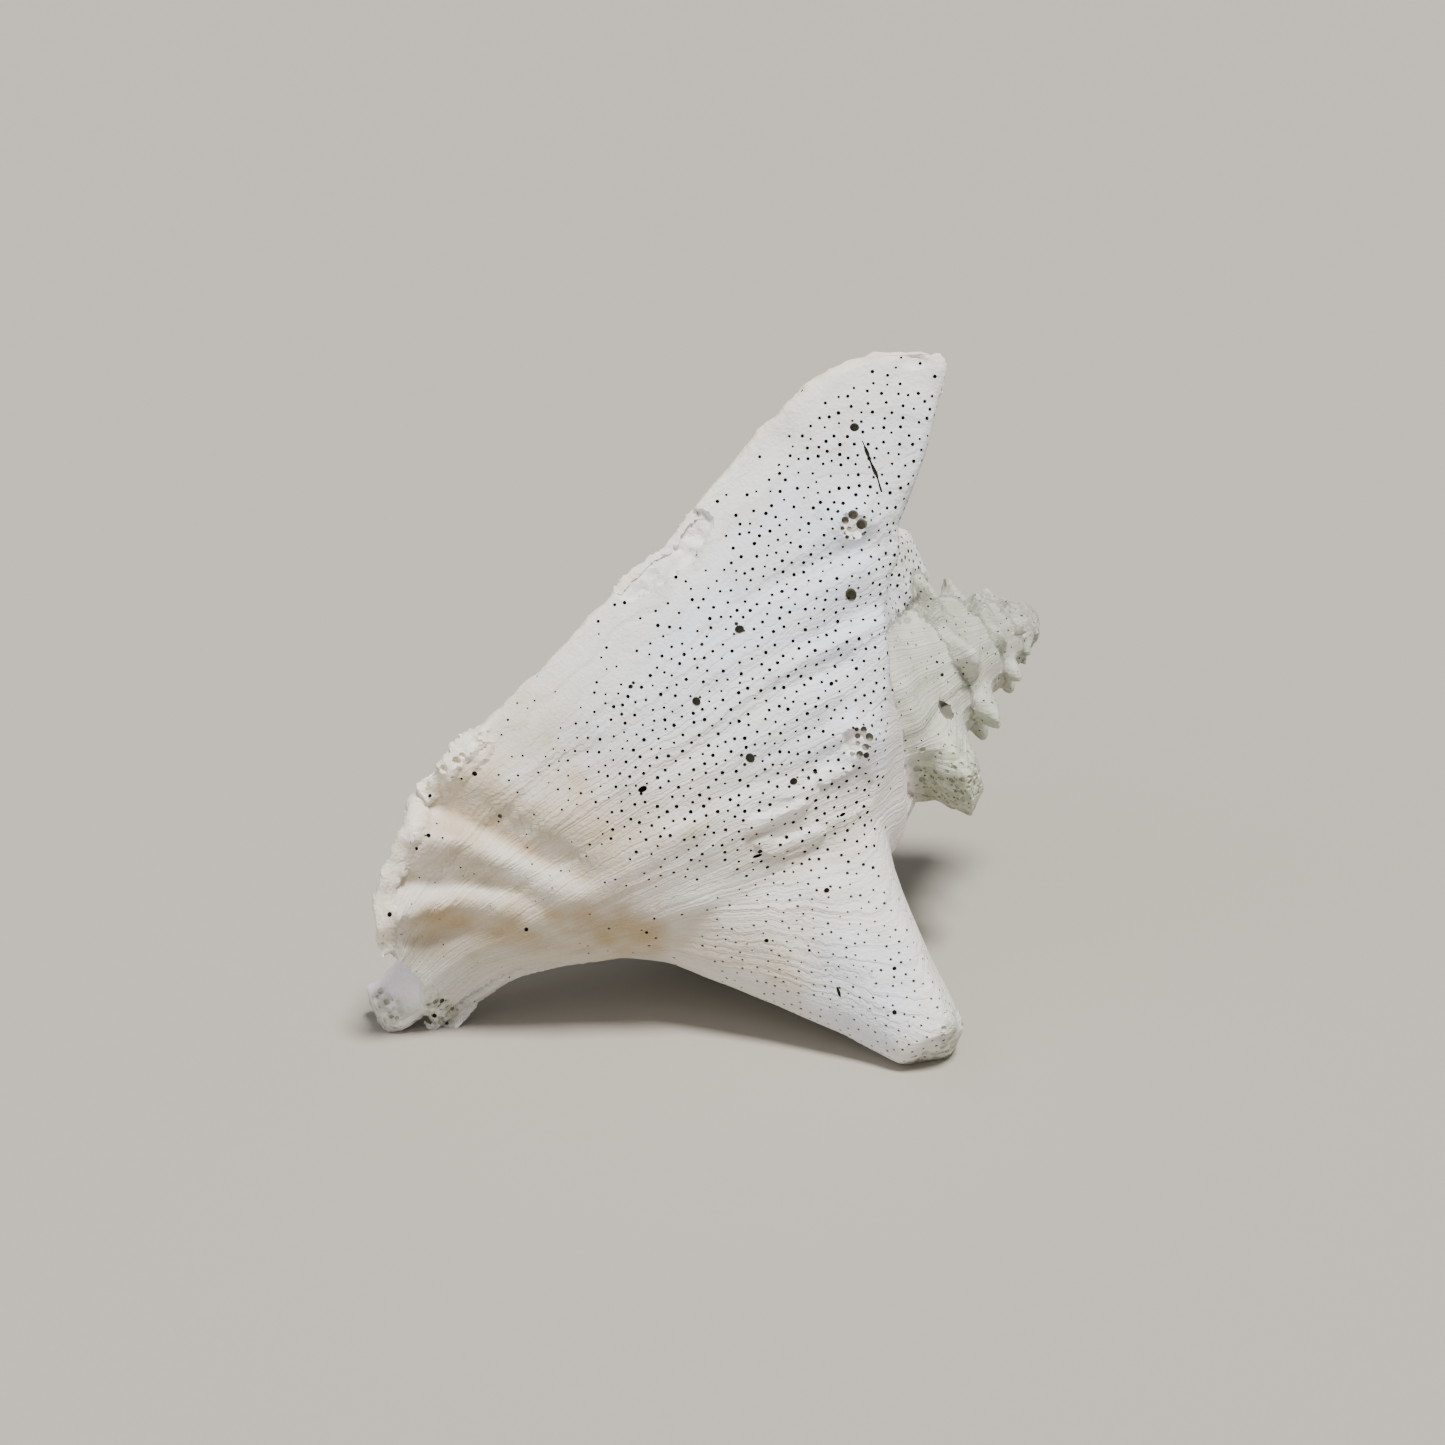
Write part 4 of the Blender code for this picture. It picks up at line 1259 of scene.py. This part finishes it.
def pit_tree():
    """Geometry nodes that scatter pits and chips over a shell and cut them out of it."""
    tree = bpy.data.node_groups.new("bored_surface", "GeometryNodeTree")
    face = tree.interface
    face.new_socket("Shell", in_out="INPUT", socket_type="NodeSocketGeometry")
    for name, value in PIT_INPUTS:
        face.new_socket(name, in_out="INPUT", socket_type="NodeSocketFloat").default_value = value
    face.new_socket("Seed", in_out="INPUT", socket_type="NodeSocketInt").default_value = 1
    face.new_socket("Pit painted shade", in_out="INPUT", socket_type="NodeSocketMaterial")
    face.new_socket("Shell", in_out="OUTPUT", socket_type="NodeSocketGeometry")
    start = tree.nodes.new("NodeGroupInput")
    end = tree.nodes.new("NodeGroupOutput")
    link = tree.links.new

    pits = scatter(tree, start, "pit_share", "Pit gap", PIT_DENSITY, 0)
    holes = instance(tree, pits, pit_shape(tree, start), PIT_UNEVEN, "pit_size")
    chips = scatter(tree, start, "chip_share", "Chip gap", CHIP_DENSITY, CHIP_SEED)
    stone = add_node(tree, "GeometryNodeMeshIcoSphere", in_1=1)
    link(start.outputs["Chip radius"], stone.inputs["Radius"])
    bites = instance(tree, chips, stone.outputs["Mesh"], CHIP_UNEVEN, "chip_size")

    mark = add_node(tree, "GeometryNodeStoreNamedAttribute", data_type="BOOLEAN", domain="FACE")
    mark.inputs["Name"].default_value = "pit_wall"
    mark.inputs["Value"].default_value = True
    link(holes, mark.inputs["Geometry"])
    chipped = subtract(tree, start.outputs["Shell"], bites)
    whole = tree.nodes.new("GeometryNodeRealizeInstances")
    link(subtract(tree, chipped, mark.outputs[0]), whole.inputs[0])
    walls = add_node(tree, "GeometryNodeInputNamedAttribute", data_type="BOOLEAN")
    walls.inputs["Name"].default_value = "pit_wall"
    # The walls of the pits get the near-black material, painted shade
    finish = tree.nodes.new("GeometryNodeSetMaterial")
    link(whole.outputs[0], finish.inputs["Geometry"])
    link(walls.outputs["Attribute"], finish.inputs["Selection"])
    link(start.outputs["Pit painted shade"], finish.inputs["Material"])
    link(finish.outputs[0], end.inputs[0])
    return tree


def scatter(tree, start, share, gap, most, seed_step):
    """Points over the shell, no nearer than a gap, where a named share says; returns the node."""
    link = tree.links.new
    points = add_node(tree, "GeometryNodeDistributePointsOnFaces", distribute_method="POISSON")
    points.inputs["Density Max"].default_value = most
    wanted = add_node(tree, "GeometryNodeInputNamedAttribute", data_type="FLOAT")
    wanted.inputs["Name"].default_value = share
    link(start.outputs["Shell"], points.inputs["Mesh"])
    link(start.outputs[gap], points.inputs["Distance Min"])
    link(wanted.outputs["Attribute"], points.inputs["Density Factor"])
    link(worked_out(tree, "ADD", start.outputs["Seed"], float(seed_step)), points.inputs["Seed"])
    return points


def instance(tree, points, shape, uneven, size):
    """Real copies of a shape on points, turned to the surface, uneven in size and scaled by a named share."""
    link = tree.links.new
    least, most, seed = uneven
    vary = add_node(tree, "FunctionNodeRandomValue", data_type="FLOAT")
    vary.inputs[2].default_value = least
    vary.inputs[3].default_value = most
    vary.inputs["Seed"].default_value = seed
    sized = add_node(tree, "GeometryNodeInputNamedAttribute", data_type="FLOAT")
    sized.inputs["Name"].default_value = size
    copies = tree.nodes.new("GeometryNodeInstanceOnPoints")
    link(points.outputs["Points"], copies.inputs["Points"])
    link(points.outputs["Rotation"], copies.inputs["Rotation"])
    link(shape, copies.inputs["Instance"])
    link(times(tree, vary.outputs[1], sized.outputs["Attribute"]), copies.inputs["Scale"])
    real = tree.nodes.new("GeometryNodeRealizeInstances")
    link(copies.outputs[0], real.inputs[0])
    return real.outputs[0]


def set_input(modifier, name, value):
    """Sets a named input of a geometry nodes modifier by its socket's identifier."""
    for item in modifier.node_group.interface.items_tree:
        if item.item_type == "SOCKET" and item.in_out == "INPUT" and item.name == name:
            modifier[item.identifier] = value
            return
    raise RuntimeError("no input named " + name)


def put_share(data, name, values):
    """Stores a share for each vertex."""
    layer = data.attributes.get(name) or data.attributes.new(name, "FLOAT", "POINT")
    layer.data.foreach_set("value", np.asarray(values, dtype=np.float32))


def bore_shell(shell, sizes, growth_map, painted_pit_shade):
    """Cuts the sponge pits and the lip's chips."""
    places = vertex_places(shell.data)[0]
    known = read_growth(places, growth_map)
    marks = surface_marks(places, known)
    up = front_view(places)[1]
    chips = np.clip(marks["rim"] * (RIM_CHIPS + layered_noise(places, CHIP_NOISE)), 0.0, 1.0)
    chips = chips * eased(known["edge"], CHIP_EDGE) * linear(CHIPS_UP, eased(up, CHIP_LOW))
    chips = chips + POROUS_CHIPS * marks["porous"]
    put_share(shell.data, "pit_share", marks["pit_share"])
    put_share(shell.data, "pit_size", marks["pit_size"])
    put_share(shell.data, "chip_share", np.clip(chips, 0.0, 1.0))
    put_share(shell.data, "chip_size", 1.0 - POROUS_CHIP_SIZE * marks["porous"])
    modifier = shell.modifiers.new("pits", "NODES")
    modifier.node_group = pit_tree()
    set_input(modifier, "Pit gap", sizes.pit_gap)
    set_input(modifier, "Pit radius", sizes.pit_radius)
    set_input(modifier, "Pit depth", sizes.pit_depth)
    set_input(modifier, "Pit painted shade", painted_pit_shade)
    settle(shell)


# Finishes, and the painted shade of the pits


def tone_group():
    """Shader group: streaks that follow the growth lines, swaying a little, as a grey value."""
    group = bpy.data.node_groups.new("growth_streaks", "ShaderNodeTree")
    face = group.interface
    link = group.links.new
    face.new_socket("Growth", in_out="INPUT", socket_type="NodeSocketFloat")
    face.new_socket("Streak size", in_out="INPUT", socket_type="NodeSocketFloat")
    face.new_socket("Value", in_out="OUTPUT", socket_type="NodeSocketFloat")
    start = group.nodes.new("NodeGroupInput")
    end = group.nodes.new("NodeGroupOutput")
    coords = group.nodes.new("ShaderNodeTexCoord")
    warp = add_node(group, "ShaderNodeTexNoise", noise_dimensions="3D")
    warp.inputs["Scale"].default_value = STREAK_WARP
    link(coords.outputs["Object"], warp.inputs["Vector"])
    sway = add_node(group, "ShaderNodeMath", operation="MULTIPLY_ADD", in_1=STREAK_SWAY)
    link(warp.outputs["Fac"], sway.inputs[0])
    link(start.outputs["Growth"], sway.inputs[2])
    streak = add_node(group, "ShaderNodeTexNoise", noise_dimensions="1D")
    streak.inputs["Detail"].default_value = STREAK_DETAIL
    streak.inputs["Roughness"].default_value = STREAK_ROUGHNESS
    link(sway.outputs[0], streak.inputs["W"])
    link(start.outputs["Streak size"], streak.inputs["Scale"])
    link(streak.outputs["Fac"], end.inputs["Value"])
    return group


def read_share(tree, name):
    """The output of an attribute node."""
    node = tree.nodes.new("ShaderNodeAttribute")
    node.attribute_name = name
    return node.outputs["Fac"]


def tint(tree, below, colour, share, strength):
    """Lays a colour by a share over what is below it, which is a colour or an output."""
    mix = add_node(tree, "ShaderNodeMix", data_type="RGBA")
    mix.inputs[7].default_value = colour
    scaled = add_node(tree, "ShaderNodeMath", operation="MULTIPLY", in_1=strength, use_clamp=True)
    tree.links.new(share, scaled.inputs[0])
    tree.links.new(scaled.outputs[0], mix.inputs["Factor"])
    if isinstance(below, bpy.types.NodeSocket):
        tree.links.new(below, mix.inputs[6])
    else:
        mix.inputs[6].default_value = below
    return mix.outputs[2]


def spread(tree, value, low, high):
    """An output stretched so that it is 0 at the low value and 1 at the high one."""
    span = tree.nodes.new("ShaderNodeMapRange")
    span.inputs["From Min"].default_value = low
    span.inputs["From Max"].default_value = high
    tree.links.new(value, span.inputs["Value"])
    return span.outputs["Result"]


def patch_share(tree, patches, detail=PATCH_DETAIL):
    """Noise over the object turned into soft patches."""
    scale, low, high = patches
    coords = tree.nodes.new("ShaderNodeTexCoord")
    noise = tree.nodes.new("ShaderNodeTexNoise")
    noise.inputs["Scale"].default_value = scale
    noise.inputs["Detail"].default_value = detail
    tree.links.new(coords.outputs["Object"], noise.inputs["Vector"])
    return spread(tree, noise.outputs["Fac"], low, high)


def layer_share(tree, share, patches, dark_streak):
    """Where a layer of the finish lies: on the dark streaks, along a share, in patches or both."""
    if share == "streak":
        return dark_streak
    if share is None:
        return patch_share(tree, patches)
    if patches is None:
        return read_share(tree, share)
    return times(tree, read_share(tree, share), patch_share(tree, patches))


def new_finish(name, roughness):
    """A material with one roughness, and its shader."""
    material = bpy.data.materials.new(name)
    material.use_nodes = True
    shader = material.node_tree.nodes["Principled BSDF"]
    shader.inputs["Roughness"].default_value = roughness
    return material, shader


def shell_finish(colours, streaks):
    """Bleached, chalky shell: streaked along its growth lines, stained, with painted shade in the fold
    valleys, pink on the ramp, lilac inside.
    """
    material, shader = new_finish("bleached_shell", SHELL_ROUGHNESS)
    tree = material.node_tree
    streak = tree.nodes.new("ShaderNodeGroup")
    streak.node_tree = streaks
    streak.inputs["Streak size"].default_value = STREAK_SIZE
    tree.links.new(read_share(tree, "growth"), streak.inputs["Growth"])
    dark_streak = spread(tree, streak.outputs["Value"], *STREAK_DARK)
    colour = colours.bleached
    for name, share, patches, strength in FINISH_LAYERS:
        where = layer_share(tree, share, patches, dark_streak)
        colour = tint(tree, colour, getattr(colours, name), where, strength)
    tree.links.new(colour, shader.inputs["Base Color"])
    height = add_node(tree, "ShaderNodeMath", operation="MULTIPLY_ADD", in_1=GRAIN_HEIGHT)
    tree.links.new(patch_share(tree, GRAIN, GRAIN_DETAIL), height.inputs[0])
    tree.links.new(times(tree, streak.outputs["Value"], read_share(tree, "outer")), height.inputs[2])
    bump = tree.nodes.new("ShaderNodeBump")
    bump.inputs["Strength"].default_value = BUMP_STRENGTH
    bump.inputs["Distance"].default_value = BUMP_DISTANCE
    tree.links.new(height.outputs[0], bump.inputs["Height"])
    tree.links.new(bump.outputs["Normal"], shader.inputs["Normal"])
    return material


def painted_pit_shade(colours):
    """The walls of the pits and borings painted near-black as shade, paler where a share says."""
    material, shader = new_finish("pit_painted_shade", PIT_ROUGHNESS)
    tree = material.node_tree
    colour = tint(tree, colours.pit, colours.pit_pale, read_share(tree, "pale_pit"), PALE_STRENGTH)
    tree.links.new(colour, shader.inputs["Base Color"])
    return material


def hole_pallor(right, up, depth):
    """How pale the walls of the crack, the borings and the cells are."""
    pallor = CRACK_PALLOR * (line_distance(right, up, CRACK)[0] < PALLOR_REACH)
    for holes, pale in ((BORINGS, BORING_PALLOR), (CELLS, CELL_PALLOR)):
        for hole_right, hole_up, size in holes:
            away = np.hypot(right - hole_right, up - hole_up)
            pallor = np.maximum(pallor, pale * (away < size * PALLOR_REACH))
    return pallor * (depth < PALLOR_DEPTH)


def mark_surface(data, growth_map):
    """Stores the shares that the finishes read."""
    places = vertex_places(data)[0]
    known = read_growth(places, growth_map)
    marks = surface_marks(places, known)
    right, up = front_view(places)
    for name in ("inner", "rim", "ramp", "porous", "stain", "spire", "cool"):
        put_share(data, name, marks[name])
    patches = patch_marks(right, up, layered_noise(places, BROKEN))[0]
    pale = PIT_PALLOR * (marks["low"] + marks["spire"] + blob(right, up, LEG_PALE))
    pale = np.maximum(pale, hole_pallor(right, up, known["depth"]))
    put_share(data, "patch", patches * marks["face"])
    put_share(data, "growth", known["growth"])
    put_share(data, "outer", 1.0 - marks["inner"])
    put_share(data, "pale_pit", np.clip(pale, 0.0, 1.0))


# Settings, operators and panel


def size_setting(name, about, value):
    """A length that the user can change."""
    return bpy.props.FloatProperty(
        name=name, description=about, default=value, min=0.0, unit="LENGTH", precision=5,
    )


def colour_setting(name, about, value):
    """A colour that the user can change."""
    return bpy.props.FloatVectorProperty(
        name=name, description=about, default=value, size=4, min=0.0, max=1.0, subtype="COLOR",
    )


class ConchSizes(bpy.types.PropertyGroup):
    """Sizes of the shell's wall, ridges and pits."""

    wall: size_setting("Wall", "Thickness of the shell's wall", 0.0046)
    skin: size_setting("Skin", "Size of the skin's smallest faces", 0.00105)
    ridge: size_setting("Ridge", "Height of the growth ridges", 0.0008)
    pit_gap: size_setting("Pit gap", "Least distance between two pits", 0.00245)
    pit_radius: size_setting("Pit radius", "Radius of a usual sponge pit", 0.0005)
    pit_depth: size_setting("Pit depth", "Depth of the sponge pits", 0.0016)
    faces: bpy.props.IntProperty(
        name="Faces", description="Triangles of the skin before it is bored", default=95000,
    )


class ConchColours(bpy.types.PropertyGroup):
    """Colours of the bleached shell, and the painted shade of its pits and fold valleys."""

    bleached: colour_setting("Bleached", "The chalky white of most of the shell", (0.82, 0.80, 0.76, 1.0))
    cool: colour_setting("Cool", "The bluish white of the face's middle", (0.74, 0.78, 0.88, 1.0))
    # This tan serves the real stains and streaks, and the painted shade in the fold valleys
    stain: colour_setting("Stain", "The tan of the stained hollows and streaks", (0.50, 0.38, 0.22, 1.0))
    cream: colour_setting("Cream", "The warm white of the chipped edge", (0.86, 0.79, 0.64, 1.0))
    pink: colour_setting("Pink", "The smooth band beside the shoulder", (0.80, 0.73, 0.70, 1.0))
    lilac: colour_setting("Lilac", "The inside of the aperture and canal", (0.93, 0.84, 0.86, 1.0))
    algae: colour_setting("Algae", "The green tinge of the spire", (0.36, 0.40, 0.27, 1.0))
    # The pit colour is painted shade: near-black walls standing in for the shade inside the pits
    pit: colour_setting("Pit", "The dark inside of the pits", (0.012, 0.012, 0.010, 1.0))
    pit_pale: colour_setting("Pale pit", "The greenish grey inside of low pits", (0.52, 0.49, 0.38, 1.0))


class ConchStage(bpy.types.PropertyGroup):
    """The floor and the lights of the picture."""

    floor: colour_setting("Floor", "Colour of the floor", (0.38, 0.35, 0.30, 1.0))
    light: bpy.props.FloatProperty(
        name="Light", description="Strength of the main light", default=6.4,
    )
    sky: bpy.props.FloatProperty(
        name="Sky", description="Strength of the light from all round", default=0.30,
    )


class CONCH_OT_grow_shell(bpy.types.Operator):
    """Grow the worn, bored shell and let it stand for the plain one"""

    bl_idname = "conch.grow_shell"
    bl_label = "Grow shell"

    def execute(self, context):
        sizes = context.scene.conch_sizes
        colours = context.scene.conch_colours
        growth_map = grid_map()
        shell = grown_skin(sizes)
        wear_skin(shell.data, sizes, growth_map)
        finish = shell_finish(colours, tone_group())
        # The near-black pit material, painted shade, goes on the pit walls and on the faces that the borings
        # and the crack leave
        pits = painted_pit_shade(colours)
        shade_painted_cutters = [boring_cutter(), crack_cutter()]
        cutters = shade_painted_cutters + [ground_cutter()]
        for item in [shell] + cutters:
            item.data.materials.clear()
            item.data.materials.append(finish)
            item.data.materials.append(pits)
        for cutter in shade_painted_cutters:
            cutter.data.polygons.foreach_set("material_index", [1] * len(cutter.data.polygons))
        cut_out(shell, cutters, sizes.faces)
        bore_shell(shell, sizes, growth_map, pits)
        mark_surface(shell.data, growth_map)
        shell.data.set_sharp_from_angle(angle=math.radians(SHARP_ANGLE))
        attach(shell, "root")
        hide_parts("conch_shell")
        return {"FINISHED"}


def soft_light(name, place, spread, strength, colour):
    """A far, soft light that shines from a place to the origin; its spread is in degrees."""
    data = bpy.data.lights.new(name, "SUN")
    data.angle = math.radians(spread)
    data.energy = strength
    data.color = colour
    lamp = new_object(name, data)
    lamp.location = place
    lamp.rotation_euler = (-Vector(place)).to_track_quat("-Z", "Y").to_euler()
    return lamp


class CONCH_OT_lay_stage(bpy.types.Operator):
    """Lay the floor, hang the soft lights and set up the camera"""

    bl_idname = "conch.lay_stage"
    bl_label = "Lay stage"

    def execute(self, context):
        settings = context.scene.conch_stage
        bpy.ops.mesh.primitive_plane_add(size=FLOOR_SIZE)
        floor = context.object
        floor.name = "floor"
        material, shader = new_finish("pale_floor", FLOOR_ROUGHNESS)
        shader.inputs["Base Color"].default_value = settings.floor
        floor.data.materials.append(material)
        world = context.scene.world or bpy.data.worlds.new("studio")
        context.scene.world = world
        world.use_nodes = True
        back = world.node_tree.nodes["Background"]
        back.inputs["Color"].default_value = SKY_COLOUR
        back.inputs["Strength"].default_value = settings.sky
        for name, place, spread_angle, share, colour in LAMPS:
            soft_light(name, place, spread_angle, settings.light * share, colour)
        data = bpy.data.cameras.new("front")
        data.lens = VIEW_LENS
        data.sensor_width = SENSOR_WIDTH
        camera = new_object("front", data)
        centre = np.array([0.0, 0.0, VIEW_HEIGHT]) - np.array(STAND)
        camera.location = Vector((centre + view_direction() * VIEW_DISTANCE) * MM)
        camera.rotation_euler = (math.radians(90.0 - VIEW_DROP), 0.0, 0.0)
        context.scene.camera = camera
        return {"FINISHED"}


class CONCH_PT_tools(bpy.types.Panel):
    """Growing the shell and laying its stage"""

    bl_label = "Conch shell"
    bl_idname = "CONCH_PT_tools"
    bl_space_type = "VIEW_3D"
    bl_region_type = "UI"
    bl_category = "Conch"

    def draw(self, context):
        column = self.layout.column()
        for settings in (context.scene.conch_sizes, context.scene.conch_colours, context.scene.conch_stage):
            for name in settings.__annotations__:
                column.prop(settings, name)
        column.operator("conch.grow_shell")
        column.operator("conch.lay_stage")


CLASSES = (ConchSizes, ConchColours, ConchStage, CONCH_OT_grow_shell, CONCH_OT_lay_stage, CONCH_PT_tools)


def register():
    """Registers the classes and the scene's settings."""
    for item in CLASSES:
        bpy.utils.register_class(item)
    bpy.types.Scene.conch_sizes = bpy.props.PointerProperty(type=ConchSizes)
    bpy.types.Scene.conch_colours = bpy.props.PointerProperty(type=ConchColours)
    bpy.types.Scene.conch_stage = bpy.props.PointerProperty(type=ConchStage)


def unregister():
    """Takes away what register added."""
    del bpy.types.Scene.conch_stage
    del bpy.types.Scene.conch_colours
    del bpy.types.Scene.conch_sizes
    for item in reversed(CLASSES):
        bpy.utils.unregister_class(item)


def main():
    """Registers the add-on, grows the shell and lays the stage."""
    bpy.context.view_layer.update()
    register()
    bpy.ops.conch.grow_shell()
    bpy.ops.conch.lay_stage()


if __name__ == "__main__":
    main()
